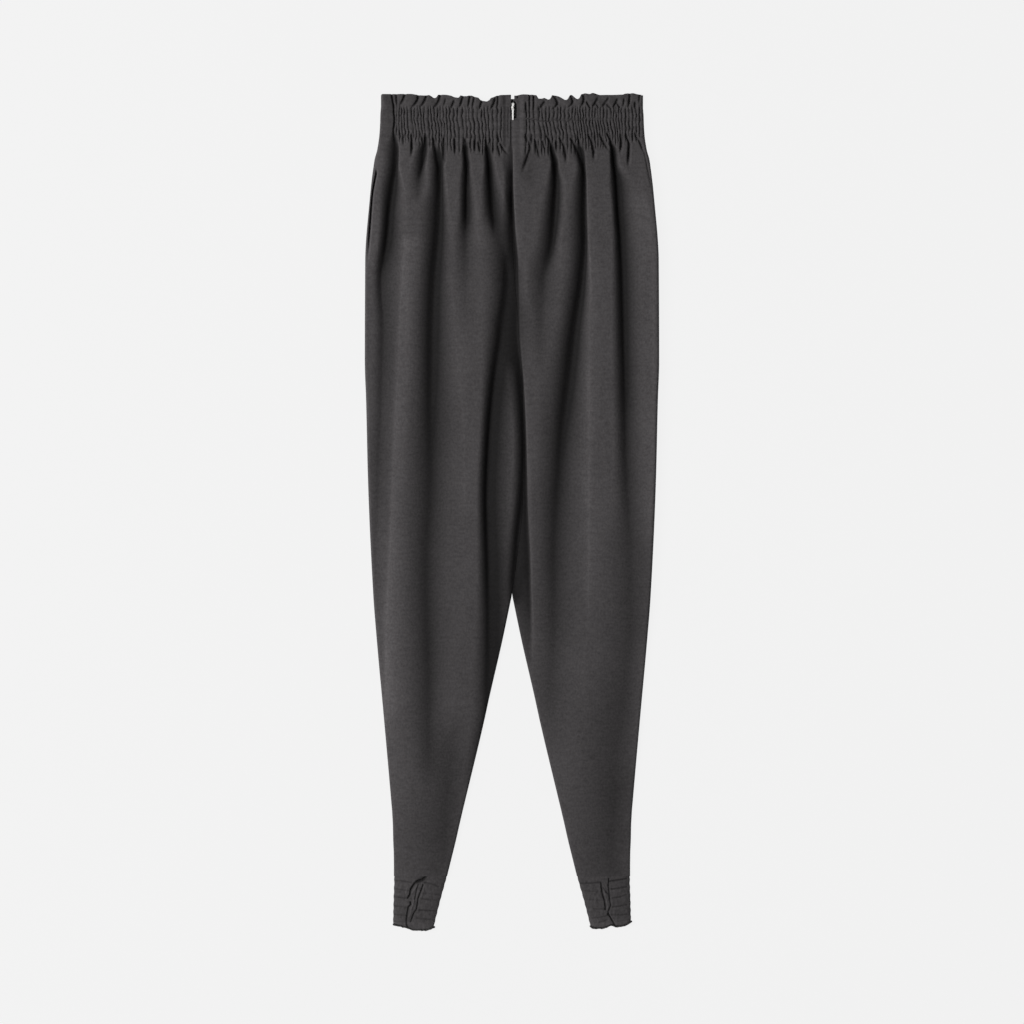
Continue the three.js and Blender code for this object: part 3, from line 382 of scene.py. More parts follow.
def crease_factor(x, y, table, end, share=1):
    """Share of the height that creases leave; each opens and closes over `end` millimetres."""
    left = np.ones_like(x)
    for depth, *widths, line in table:
        top, low = line[0][1], line[-1][1]
        near = (y < top + end) & (y > low - end)
        if not near.any():
            continue
        xs, ys = x[near], y[near]
        middle = line_x(line, ys)
        down = np.clip((top - ys) / (top - low), 0, 1)
        width = widths[0] + (widths[-1] - widths[0]) * down
        lean = np.gradient(line_x(line, np.linspace(low, top, 9)), (top - low) / 8)
        across = 1 / math.hypot(1, float(np.mean(lean)))
        fade = soft(top + end, top - end * 0.3, ys) * soft(low - end * 0.2, low + (top - low) * 0.5, ys)
        away = (xs - middle) * across / width
        left[near] *= 1 - share * depth * fade * np.exp(-1.2 * away ** 2)
    return left


def pleat_factor(x, y, side):
    """Share of the height that the shirring leaves: rounded pleats, uneven from one row to the next."""
    gaps = PLEATS[side]
    random = np.random.default_rng(PLEAT_SEEDS[side])
    count = len(gaps)
    shape = (count, len(PLEAT_LEVELS))
    shifts = random.uniform(-1, 1, shape)
    depths = random.uniform(0.5, 1, shape)
    weak = random.uniform(0, 1, shape) < WEAK_SHARE
    depths[weak] *= 0.4
    tails = random.uniform(-1, 6, count)
    lines, strengths = [], []
    for k, gap in enumerate(gaps):
        place = gap + np.interp(y, PLEAT_LEVELS[::-1], shifts[k][::-1])
        if side < 0:
            place = place + 2 * soft(493, 470, y) * soft(-146, -128, gap) * soft(-14, -40, gap)
        else:
            place = place + 3.4 * soft(489, 464, y) * soft(16, 34, gap) * soft(159, 110, gap)
        strength = np.interp(y, PLEAT_LEVELS[::-1], depths[k][::-1])
        low = waist_low(np.full_like(y, gap)) - tails[k]
        lines.append(place)
        strengths.append(strength * soft(low - 3, low + 5, y) * soft(506, 499, y))
    lines, strengths = np.array(lines), np.array(strengths)
    left = np.ones_like(x)
    for k in range(count - 1):
        inside = (x >= lines[k]) & (x < lines[k + 1])
        if not inside.any():
            continue
        start, stop = lines[k][inside], lines[k + 1][inside]
        across = (x[inside] - start) / (stop - start)
        strength = strengths[k][inside] * (1 - across) + strengths[k + 1][inside] * across
        ridge = np.sqrt(np.clip(1 - np.abs(2 * across - 1) ** PLEAT_POWER, 0, 1))
        left[inside] = 1 - PLEAT_DEPTH * strength * (1 - ridge)
    for k, sign in ((0, -1), (count - 1, 1)):
        away = np.clip(sign * (x - lines[k]) / LAST_PLEAT_REACH, 0, 1)
        beyond = sign * (x - lines[k]) >= 0
        ridge = np.sqrt(np.clip(1 - (1 - away) ** PLEAT_POWER, 0, 1))
        left[beyond] = (1 - PLEAT_DEPTH * strengths[k] * (1 - ridge))[beyond]
    return left


def back_height(x, y, side):
    """Top of the back cloth, and the painted shade of its folds and creases and painted highlight of its
    crests.
    """
    low = waist_low(x)
    in_waist = soft(low - WAIST_BLEND, low + 8, y)
    in_rows = soft(low - 4, low + 4, y)
    base = REST_TOP + WAIST_LIFT * in_waist
    band = BAND_HEIGHT + 0.3 * noise_2d(11, x, y, 9, 10)
    frill = FRILL_HEIGHT + 0.8 * noise_1d(23, x + 0.5 * (y - 500), 9)
    band = band + (frill - band) * soft(499, 507, y)
    # the cloth beside the zip lies flat under the pull
    band = band * (1 - 0.6 * soft(14, 8, np.abs(x - ZIP_X)))
    open_height = curve(PLATEAU, y) - REST_TOP + 0.35 * noise_2d(31, x, y, 34, 120)
    open_height = open_height + 0.25 * noise_2d(37, x, y, 11, 60) * soft(-380, 100, y)
    height = open_height + (band + WAIST_LIFT - open_height) * soft(low - WAIST_BLEND, low + 10, y)
    # the plain strip beside the left side seam and the plain cloth beside the zip
    plain = soft(SIDE_SEAM_X + 1.5, SIDE_SEAM_X - 1, x) + soft(15.5, 12, np.abs(x - ZIP_X))
    pinch = sum(np.exp(-((y - row) / ROW_HALF) ** 2) for row in ELASTIC_ROWS) * in_rows
    height = height * (1 - (ROW_DEPTH - ROW_EASE_PLAIN * np.clip(plain, 0, 1)) * pinch)
    folds = fold_factor(x, y)
    factor = crease_factor(x, y, CREASES, 3, 0.9) * crease_factor(x, y, FRILL, 2.5, 0.72)
    factor = factor * pleat_factor(x, y, side)
    if side < 0:
        factor = factor * crease_factor(x, y, [(0.7, 1.1, 1.3, SIDE_SEAM)], 2)
        factor = factor * crease_factor(x, y, [(0.85, 1.2, 1.6, POCKET_SLIT)], 3)
        outside = soft(0, -3, x - line_x(POCKET_SLIT, y))
        factor = factor * (1 - POCKET_SINK * outside * soft(424, 418, y) * soft(290, 305, y))
    # painted shade: the colour darkens with the depth of folds, creases, pleats and elastic rows, over the
    # waist and beside the side seam
    deep = np.clip((1 - folds) / FOLD_SHADE_FULL, 0, 1)
    painted_brightness = (1 - FOLD_SHADE * deep ** FOLD_SHADE_POWER) * (1 - CREASE_SHADE * (1 - factor))
    painted_brightness = painted_brightness * (1 - ROW_SHADE * pinch) * (1 - WAIST_SHADE * in_waist)
    strip = soft(-160, -151, x) * soft(SIDE_SEAM_X + 2, SIDE_SEAM_X - 1, x)
    painted_shading = 1 - painted_brightness * (1 - STRIP_SHADE * strip * in_waist)
    # the folds flatten out where the leg meets its cuff
    factor = factor * (folds + (1 - folds) * soft(LEG_END_Y + 26, LEG_END_Y, y))
    for light, left_reach, right_reach, rise, line in CRESTS:
        away = x - curve(line, y)
        along = soft(line[0][0], line[1][0], y) * soft(line[-1][0], line[-2][0], y)
        reach = np.where(away < 0, left_reach, right_reach)
        near = along * np.exp(-np.abs(away) / reach)
        height = height + rise * near
        # painted highlight: the colour of the crest is lightened
        painted_shading = painted_shading - light * near * (1 - painted_shading)
    gathered = soft(LEG_END_Y + 9, LEG_END_Y, y)
    height = height * (1 - gathered * (0.06 + 0.06 * noise_1d(41 + side, x, 4)))
    to_outer = curve(OUTER, y) - np.abs(x)
    to_inner = np.where(y > CROTCH_Y, np.hypot(x, y - CROTCH_Y), np.abs(x) - curve(INNER, y))
    edge = np.clip(np.minimum(to_outer, to_inner) / EDGE_ROUND, 0, 1)
    rounding = (1 - (1 - edge) ** EDGE_POWER) ** (1 / EDGE_POWER)
    # each leg is a little higher along its middle
    inside = np.clip(to_outer / (np.clip(to_outer + to_inner, 1, None)), 0, 1)
    crown = 1 - LEG_CROWN * (2 * inside - 1) ** 2 * soft(-40, -200, y)
    top = base + height * factor * crown
    return RIM_HEIGHT + (top - RIM_HEIGHT) * np.clip(rounding, 0, 1), painted_shading


# ---------- Meshes ----------
def points_of(x, y, z):
    """Points from their coordinates, any of which may be one number for all of them."""
    return np.stack(np.broadcast_arrays(x, y, z), axis=-1)


def make_piece(name, points, faces, material):
    """A smooth-shaded mesh from millimetre points and arrays of faces."""
    mesh = bpy.data.meshes.new(name)
    corners = [face for group in faces for face in group.tolist()]
    mesh.from_pydata((points * MM).tolist(), [], corners)
    mesh.shade_smooth()
    mesh.validate()
    piece = bpy.data.objects.new(name, mesh)
    bpy.context.scene.collection.objects.link(piece)
    mesh.materials.append(material)
    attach(piece, "garment")
    return piece


def grid_faces(rows, columns, base, upward):
    """Quads of a grid whose rows run from low y to high y and whose columns run left to right."""
    row, column = np.meshgrid(np.arange(rows - 1), np.arange(columns - 1), indexing="ij")
    first = (base + row * columns + column).ravel()
    quads = np.stack([first, first + 1, first + columns + 1, first + columns], axis=1)
    return quads if upward else quads[:, ::-1]


def tube_faces(rings, around, base=0, outward=True, closed=False):
    """Quads between rings of points; the last ring of a closed tube meets the first."""
    ring, step = np.meshgrid(np.arange(rings if closed else rings - 1), np.arange(around), indexing="ij")
    beside, beyond = (step + 1) % around, (ring + 1) % rings
    corners = [ring * around + step, beyond * around + step, beyond * around + beside, ring * around + beside]
    quads = base + np.stack(corners, axis=-1).reshape(-1, 4)
    return quads if outward else quads[:, [0, 3, 2, 1]]


def rounded_rim(share, height):
    """How far an underside lifts at a rounded rim: by `height` where share is 0, and not at all from 1 on."""
    return height * (1 - np.sqrt(1 - (1 - np.clip(share, 0, 1)) ** 2))


def zip_lines(points, upper, lower):
    """Triangles between two lines of points that start and end beside each other."""
    def shares(line):
        steps = np.linalg.norm(np.diff(points[line], axis=0), axis=1)
        total = np.concatenate([[0], np.cumsum(steps)])
        return total / max(total[-1], 1e-9)

    up, down = shares(upper), shares(lower)
    i = j = 0
    faces = []
    while i < len(upper) - 1 or j < len(lower) - 1:
        if i < len(upper) - 1 and (j == len(lower) - 1 or up[i + 1] <= down[j + 1]):
            faces.append((upper[i + 1], upper[i], lower[j]))
            i += 1
        else:
            faces.append((lower[j], lower[j + 1], upper[i]))
            j += 1
    return np.array(faces)


def grid_sides(rows, columns, base):
    index = base + np.arange(rows * columns).reshape(rows, columns)
    return [index[0], index[:, -1], index[-1][::-1], index[:, 0][::-1]]


def shell(name, top, under, material):
    """A closed wall between an upper grid of points and a lower, coarser one."""
    top, under = np.array(top), np.array(under)
    points = np.concatenate([top.reshape(-1, 3), under.reshape(-1, 3)])
    base = top.shape[0] * top.shape[1]
    faces = [grid_faces(top.shape[0], top.shape[1], 0, True),
             grid_faces(under.shape[0], under.shape[1], base, False)]
    sides = zip(grid_sides(*top.shape[:2], 0), grid_sides(*under.shape[:2], base))
    rims = [zip_lines(points, a, b) for a, b in sides]
    return make_piece(name, points, faces + [np.concatenate(rims)], material)


def paint_shading(piece, painted_shading):
    """Tells the cloth's material the shade and highlight painted at each of the first points; the rest get
    none.
    """
    values = np.zeros(len(piece.data.vertices), np.float32)
    values[:painted_shading.size] = painted_shading.ravel()
    layer = piece.data.attributes.new("painted_shading", "FLOAT", "POINT")
    layer.data.foreach_set("value", values)


def lowest_near(height, rows, columns):
    """The least height within so many rows and columns of each point."""
    padded = np.pad(height, ((rows, rows), (columns, columns)), mode="edge")
    windows = np.lib.stride_tricks.sliding_window_view(padded, (2 * rows + 1, 2 * columns + 1))
    return windows.min(axis=(-1, -2))


# ---------- Materials ----------
def set_inputs(node, inputs):
    """Sets a node's inputs, each to a value or to what another node gives."""
    for key, value in inputs.items():
        if isinstance(value, bpy.types.NodeSocket):
            node.id_data.links.new(value, node.inputs[key])
        else:
            node.inputs[key].default_value = value


def two_colours(add, share, dark, light):
    colour = add("ValToRGB", {"Fac": share}, "Color")
    first, last = colour.node.color_ramp.elements
    first.color, last.color = (*dark, 1), (*light, 1)
    return colour


def tree_of(name):
    """A material, its shader, and a function that adds a node to it and gives the wanted output."""
    material = bpy.data.materials.new(name)
    material.use_nodes = True
    nodes = material.node_tree.nodes

    def add(kind, inputs, output=0, **settings):
        node = nodes.new("ShaderNode" + kind)
        for key, value in settings.items():
            setattr(node, key, value)
        set_inputs(node, inputs)
        return node.outputs[output]

    return material, nodes["Principled BSDF"], add


def crepe(name, dark, light):
    """Matt crepe: a fine pebbled weave with faint slubs across, with painted shade and highlight in its
    colour.
    """
    material, shader, add = tree_of(name)
    place = add("TexCoord", {}, "Object")

    def noise(scale, stretch, rough):
        mapped = add("Mapping", {"Vector": place, "Scale": stretch})
        inputs = {"Vector": mapped, "Scale": scale, "Detail": 2, "Roughness": rough}
        return add("TexNoise", inputs, "Fac")

    def sum_of(share, first, second):
        return add("Math", {0: first, 1: share, 2: second}, operation="MULTIPLY_ADD")

    slub = noise(300, (0.35, 1.1, 1), 0.6)
    pebble = noise(440, (1, 0.72, 1), 0.6)
    cloud = noise(14, (1, 1, 1), 0.5)
    mottle = sum_of(0.35, cloud, sum_of(0.55, slub, pebble))
    span = add("MapRange", {"Value": mottle, "From Min": 0.6, "From Max": 1.3}, "Result")
    colour = two_colours(add, span, dark, light)
    # painted shade and highlight: the colour is scaled by the value kept on each point
    painted_shading = add("Attribute", {}, "Fac", attribute_name="painted_shading")
    painted_brightness = add("Math", {0: 1, 1: painted_shading}, operation="SUBTRACT")
    shade = add("VectorMath", {0: colour, "Scale": painted_brightness}, "Vector", operation="SCALE")
    inputs = {"Vector": place, "Scale": 420, "Distortion": 3, "Detail": 1, "Detail Scale": 2}
    weave = add("TexWave", inputs, "Fac")
    relief = sum_of(0.25, weave, pebble)
    bump = add("Bump", {"Height": relief, "Strength": 0.35, "Distance": 0.0006})
    set_inputs(shader, {"Base Color": shade, "Normal": bump, "Roughness": 0.8, "Specular IOR Level": 0.12})
    return material


CREPE = crepe("crepe", (0.0475, 0.044, 0.0453), (0.0875, 0.082, 0.084))
# a copy of the crepe painted a little darker, as painted shade for the front pieces, which lie under the back
CREPE_FRONT = crepe("crepe_front", (0.0453, 0.042, 0.0431), (0.0845, 0.0791, 0.0811))


def thread(name, dark, light, scale):
    """Twisted thread, or the weave of a tape."""
    material, shader, add = tree_of(name)
    place = add("TexCoord", {}, "Object")
    inputs = {"Vector": place, "Scale": scale, "Distortion": 2}
    twist = add("TexWave", inputs, "Fac", bands_direction="DIAGONAL")
    colour = two_colours(add, twist, dark, light)
    bump = add("Bump", {"Height": twist, "Strength": 0.5, "Distance": 0.0003})
    set_inputs(shader, {"Base Color": colour, "Normal": bump, "Roughness": 0.75})
    return material


OVERLOCK = thread("overlock", (0.012, 0.011, 0.011), (0.035, 0.032, 0.032), 500)
# the tape is near-black, darker than the crepe: partly its own dark colour, partly painted shade for the
# zip's notch
TAPE = thread("zip_tape", (0.006, 0.006, 0.006), (0.018, 0.017, 0.017), 700)


def metal(name, colour, rough, share):
    """Metal or lacquered metal with faint scratches; `share` is how metallic it is."""
    material, shader, add = tree_of(name)
    place = add("TexCoord", {}, "Object")
    scratch = add("TexNoise", {"Vector": place, "Scale": 900, "Detail": 4}, "Fac")
    span = add("MapRange", {"Value": scratch, "To Min": rough - 0.08, "To Max": rough + 0.1}, "Result")
    set_inputs(shader, {"Base Color": (*colour, 1), "Metallic": share, "Roughness": span})
    return material


ZIP_METAL = metal("zip_metal", (0.96, 0.95, 0.93), 0.5, 0.3)
COIL = metal("zip_coil", (0.2, 0.2, 0.2), 0.45, 0.5)


# ---------- Back: frill, shirring and legs in one cloth ----------
NOTCH_LEFT, NOTCH_RIGHT, NOTCH_TOP_RIGHT = -1.2, 5.9, 2.8  # edges of the zip's notch
NOTCH_LOW, NOTCH_OPEN = 485.4, 487.2  # where it starts and where it is open
WAIST_ROWS_LOW, WAIST_ROWS_HIGH = 430, 515  # rows between these follow the top edge
TOP_ROLL, TOP_ROLL_NEXT = 0.9, 0.25  # how far the top edge and the row under it roll down
UNDER_LEAST, OVER_TAPE = 1.95, 1.25  # lowest inside, over the front, and how much higher over the tape
UNDER_RAISE, LEAST_WALL = 0.4, 0.15
# Middle of the centre back seam, y and x.
SEAM_MIDDLE = [(520, 0.4), (385, 0.4), (337, 1.2), (238, 7.4), (138, 13.5), (14, 13.5), (-60, 6),
    (CROTCH_Y, 0)]


def centre_line(y, side):
    """Where a half of the back ends: at the centre seam, the zip's notch or the inside of the leg."""
    seam = curve(SEAM_MIDDLE, y) + side * 0.06
    notch = NOTCH_LEFT if side < 0 else NOTCH_RIGHT + (NOTCH_TOP_RIGHT - NOTCH_RIGHT) * soft(506, 509, y)
    opening = soft(NOTCH_LOW, NOTCH_OPEN, y)
    upper = seam + (notch - seam) * opening
    return np.where(y > CROTCH_Y, upper, side * curve(INNER, y))


def back_half(side, columns):
    """A half of the back, from the frill to the leg end, in one cloth with its shirring."""
    hem_rows = np.linspace(LEG_END_Y + EDGE_LOOP, LEG_END_Y + 12, 9)
    leg_rows = np.linspace(LEG_END_Y + 18, 380, 142)
    share = np.linspace(0, 1, columns)

    def across(y):
        ends = sorted([side * float(curve(OUTER, y)), float(centre_line(np.array(y), side))])
        return ends[0] + (ends[1] - ends[0]) * share

    rows = []
    for y in np.concatenate([[LEG_END_Y], hem_rows, leg_rows, np.linspace(384, WAIST_ROWS_LOW, 24)]):
        rows.append(np.stack([across(y), np.full(columns, y)], axis=1))
    for up in np.linspace(0, 1, 82)[1:]:
        x = across(WAIST_ROWS_LOW + up * (WAIST_ROWS_HIGH - WAIST_ROWS_LOW))
        rows.append(np.stack([x, WAIST_ROWS_LOW + up * (curve(HEADER_TOP, x) - WAIST_ROWS_LOW)], axis=1))
    x, y = np.moveaxis(np.array(rows), -1, 0)
    z, painted_shading = back_height(x, y, side)
    z[-1] -= TOP_ROLL
    z[-2] -= TOP_ROLL_NEXT
    # the inside is a coarser grid, lower than all that lies near it, and clear of the front and the tape
    step_r, step_c = 3, 5
    under_z = lowest_near(z, step_r, step_c) - BACK_CLOTH + UNDER_RAISE
    beside_zip = soft(9, 7, np.abs(x - ZIP_X)) * soft(320, 326, y)
    under_z = np.maximum(under_z, UNDER_LEAST + OVER_TAPE * beside_zip)
    under_z = np.minimum(under_z, lowest_near(z, 1, 1) - LEAST_WALL)
    pick_r = np.unique(np.append(np.arange(0, len(rows), step_r), len(rows) - 1))
    pick_c = np.unique(np.append(np.arange(0, columns, step_c), columns - 1))
    under = points_of(x, y, under_z)[np.ix_(pick_r, pick_c)]
    word = SIDE_WORD[side]
    piece = shell(f"back_{word}", points_of(x, y, z), under, CREPE)
    paint_shading(piece, painted_shading)
    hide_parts(f"back_leg_{word}", f"waist_back_{word}", f"pocket_edge_{word}")
    return piece


back_left = back_half(-1, 330)
back_right = back_half(1, 345)


# ---------- Front: lies flat on the floor ----------
FRONT_RIM = 0.7  # how far the underside lifts at the outer edges
FRONT_TOP_Y = 448.2  # where the leg panels meet the front waist
FRONT_WAIST_HALF = 163
FRONT_WAIST_TOP, FRONT_WAIST_RISE = 506, 12.6  # its top edge at the centre, and how much higher at the sides


def front_half(side):
    """A front leg panel: flat, with its outer edges rounded up from the floor."""
    columns = 40
    top, under = [], []
    for y in np.linspace(LEG_END_Y, FRONT_TOP_Y, 150):
        inner = max(0.1, float(curve(INNER, y))) if y < CROTCH_Y else 0.1
        ends = sorted([side * float(curve(OUTER, y)), side * inner])
        x = np.linspace(ends[0], ends[1], columns)
        from_edge = np.minimum(x - ends[0], ends[1] - x)
        if y > CROTCH_Y:
            from_edge = x - ends[0] if side < 0 else ends[1] - x
        top.append(points_of(x, y, FRONT_CLOTH))
        under.append(points_of(x, y, rounded_rim(from_edge / 2.5, FRONT_RIM)))
    word = SIDE_WORD[side]
    piece = shell(f"front_{word}", top, under, CREPE_FRONT)
    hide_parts(f"front_leg_{word}")
    return piece


front_left = front_half(-1)
front_right = front_half(1)


def front_waist():
    """The front waist: flat, and hidden behind the frill all along its top edge."""
    x = np.linspace(-FRONT_WAIST_HALF, FRONT_WAIST_HALF, 120)
    top_edge = FRONT_WAIST_TOP + FRONT_WAIST_RISE * np.abs(x / FRONT_WAIST_HALF) ** 6
    top, under = [], []
    for share in np.linspace(0, 1, 26):
        y = WAIST_LOW_CENTRE + share * (top_edge - WAIST_LOW_CENTRE)
        lift = rounded_rim((FRONT_WAIST_HALF - np.abs(x)) / 3, FRONT_RIM)
        top_lift = FRONT_RIM * max(0, (share - 0.9) / 0.1) ** 2
        top.append(points_of(x, y, FRONT_CLOTH))
        under.append(points_of(x, y, np.maximum(lift, top_lift)))
    piece = shell("front_waist", top, under, CREPE_FRONT)
    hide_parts("waist_front")
    return piece


waist_front = front_waist()


# ---------- Cuffs ----------
CUFF_LENGTH = 62
CUFF_CRINKLE = 0.22
CUFF_RISE, CUFF_FALL = 2.5, 0.4  # height at the leg, and how much lower at the hem
CUFF_INSET, CUFF_PULL = 0.2, 0.4  # from the leg's outline, and how much farther the elastic pulls
CUFF_HOLE_LOW, CUFF_HOLE_HIGH, CUFF_HOLE_INSET = 1.2, 1.9, 3.4
HEM_ROOM = 2.4  # room that a cuff leaves for its rolled hem
CUFF_ROWS = [0, 0.155, 0.335, 0.51, 0.68, 0.84, 1.0]  # where the elastic rows pull the sides in
CUFF_SHADE, CUFF_SHADE_MOST = 1.8, 0.66  # how much painted shade a crease's depth gives, and the most
# Elastic rows, then the pinched pleats between them and the ridges beside these, whose depth is negative:
# depth share, which also sets painted shade and on the ridges a painted highlight, half width at the start
# and at the end, and the points of the line.
CUFF_CREASES = {
    -1: [
        (0.16, 1, 1.1, [(-146.5, -457.9), (-136, -458.6), (-124.5, -460.5)]),
        (0.13, 1, 1.1, [(-146.5, -468.3), (-134, -470), (-127.5, -470.6)]),
        (0.15, 1, 1.1, [(-146.5, -478.4), (-137, -479.4), (-130, -480.2)]),
        (0.13, 1, 1.1, [(-147, -489.8), (-138, -490.6), (-129, -491.8)]),
        (0.12, 1, 1.1, [(-147, -500.3), (-138, -501), (-131, -501.7)]),
        (0.12, 1, 1.1, [(-147, -508.9), (-140, -509.4), (-132, -509.9)]),
        (0.18, 1.1, 1.1, [(-108.5, -460.5), (-100, -462), (-91, -465.8)]),
        (0.08, 1, 1, [(-111, -474), (-100, -474.5), (-90, -476)]),
        (0.15, 1.5, 0.9, [(-114, -480.5), (-105.5, -481.8), (-93, -482.7)]),
        (0.22, 1.2, 0.9, [(-115, -494.8), (-106, -495.4), (-95, -496)]),
        (0.13, 1.1, 1, [(-118.5, -504.8), (-108, -506), (-98, -507.2)]),
        (0.45, 1.7, 1.1, [(-106.5, -452.6), (-111.3, -457.3), (-117, -458.8), (-120.9, -461.6),
            (-125.6, -468.7), (-126.7, -475.4), (-129.4, -479.7)]),
        (0.4, 1, 1.2, [(-126.1, -484.9), (-125.6, -487.9), (-128.6, -490.8), (-129.8, -497.3),
            (-130.8, -505), (-130.8, -511.7), (-129.4, -516.5)]),
        (0.34, 1, 1, [(-110.3, -463.5), (-113.2, -471.6), (-116.2, -479.3), (-117.5, -488), (-118.4, -493.7),
            (-121.8, -498.4), (-123.8, -504.2), (-125.6, -508.9)]),
        (0.26, 0.9, 0.9, [(-116.2, -463.1), (-118, -468.8), (-119.4, -475.5), (-120.4, -481.2)]),
        (0.2, 4.5, 3, [(-110.5, -456), (-116, -459)]),
        (-0.13, 1.1, 1.1, [(-116.8, -463.5), (-124.2, -473.4)]),
        (-0.12, 1, 1, [(-109.2, -465.9), (-111.6, -475.9), (-114.3, -481.4)]),
        (-0.13, 1, 1.2, [(-121.6, -482.7), (-124, -490.2), (-126.9, -502)]),
        (-0.1, 1.2, 1, [(-129.2, -465.3), (-131.7, -474)]),
    ],
    1: [
        (0.2, 1, 1.1, [(85, -461.6), (98, -461.5), (110, -460.1)]),
        (0.1, 1, 1.1, [(91, -470.7), (102, -471.5), (111, -472.6)]),
        (0.1, 1, 1.1, [(97, -482), (105, -482.5), (113.5, -482.9)]),
        (0.14, 1, 1.1, [(102, -493.2), (110, -493.7), (116.5, -494)]),
        (0.13, 1, 1.1, [(100, -504.8), (110, -503.8), (118.5, -501.7)]),
        (0.14, 1, 1.1, [(109, -510), (114, -508.8), (118.5, -507)]),
        (0.27, 1, 1.3, [(121.4, -458.9), (132, -457.6), (142.3, -455.8)]),
        (0.23, 1, 1.3, [(124, -468.8), (132, -467.9), (142.3, -466)]),
        (0.2, 1, 1.2, [(125, -479.9), (134, -478.7), (142.3, -475.7)]),
        (0.19, 1, 1.2, [(125.5, -490.8), (134, -489.9), (142.3, -488.3)]),
        (0.15, 1, 1.1, [(124, -500.8), (134, -501), (142.5, -500.3)]),
        (0.08, 1, 1, [(130, -509.5), (137, -508.5), (145, -506.5)]),
        (0.34, 1, 1.2, [(110.7, -461.1), (111.5, -467.8), (112.8, -475.5), (115.2, -483), (116.2, -489.8),
            (116.2, -493.6)]),
        (0.3, 0.9, 1.1, [(120.5, -455.4), (119.9, -464), (120.9, -473.5), (121.4, -481.2), (122.9, -489),
            (119.9, -496.4), (119.5, -500.4)]),
        (0.42, 1.1, 1.2, [(119.9, -499.5), (123.4, -505.1), (126.1, -509.8), (128.1, -514.1)]),
        (0.22, 0.9, 0.9, [(113.7, -467.3), (116.7, -471.5), (119.5, -474.5)]),
        (-0.12, 1, 1, [(114.4, -465), (115.3, -471), (116.2, -478)]),
        (-0.12, 1, 1, [(118, -481.5), (119.2, -492)]),
        (-0.12, 1, 1, [(121.5, -499), (124.6, -504.5), (127.6, -509)]),
    ],
}


def beside_line(x, y, line):
    """Distance of each place from a line of points, and how far along the line it is, between 0 and 1."""
    nearest, along, run = np.full(np.shape(x), np.inf), np.zeros(np.shape(x)), 0
    steps = [math.dist(a, b) for a, b in zip(line, line[1:])]
    for (ax, ay), (bx, by), step in zip(line, line[1:], steps):
        share = np.clip(((x - ax) * (bx - ax) + (y - ay) * (by - ay)) / step ** 2, 0, 1)
        away = np.hypot(x - ax - share * (bx - ax), y - ay - share * (by - ay))
        nearer = away < nearest
        nearest = np.where(nearer, away, nearest)
        along = np.where(nearer, (run + share * step) / sum(steps), along)
        run += step
    return nearest, along


def cuff_factor(x, y, side):
    """Share of a cuff's height that its creases leave."""
    left = np.ones_like(x)
    for depth, from_width, to_width, line in CUFF_CREASES[side]:
        away, along = beside_line(x, y, line)
        width = from_width + (to_width - from_width) * along
        left = left * (1 - depth * np.exp(-1.2 * (away / width) ** 2))
    return left


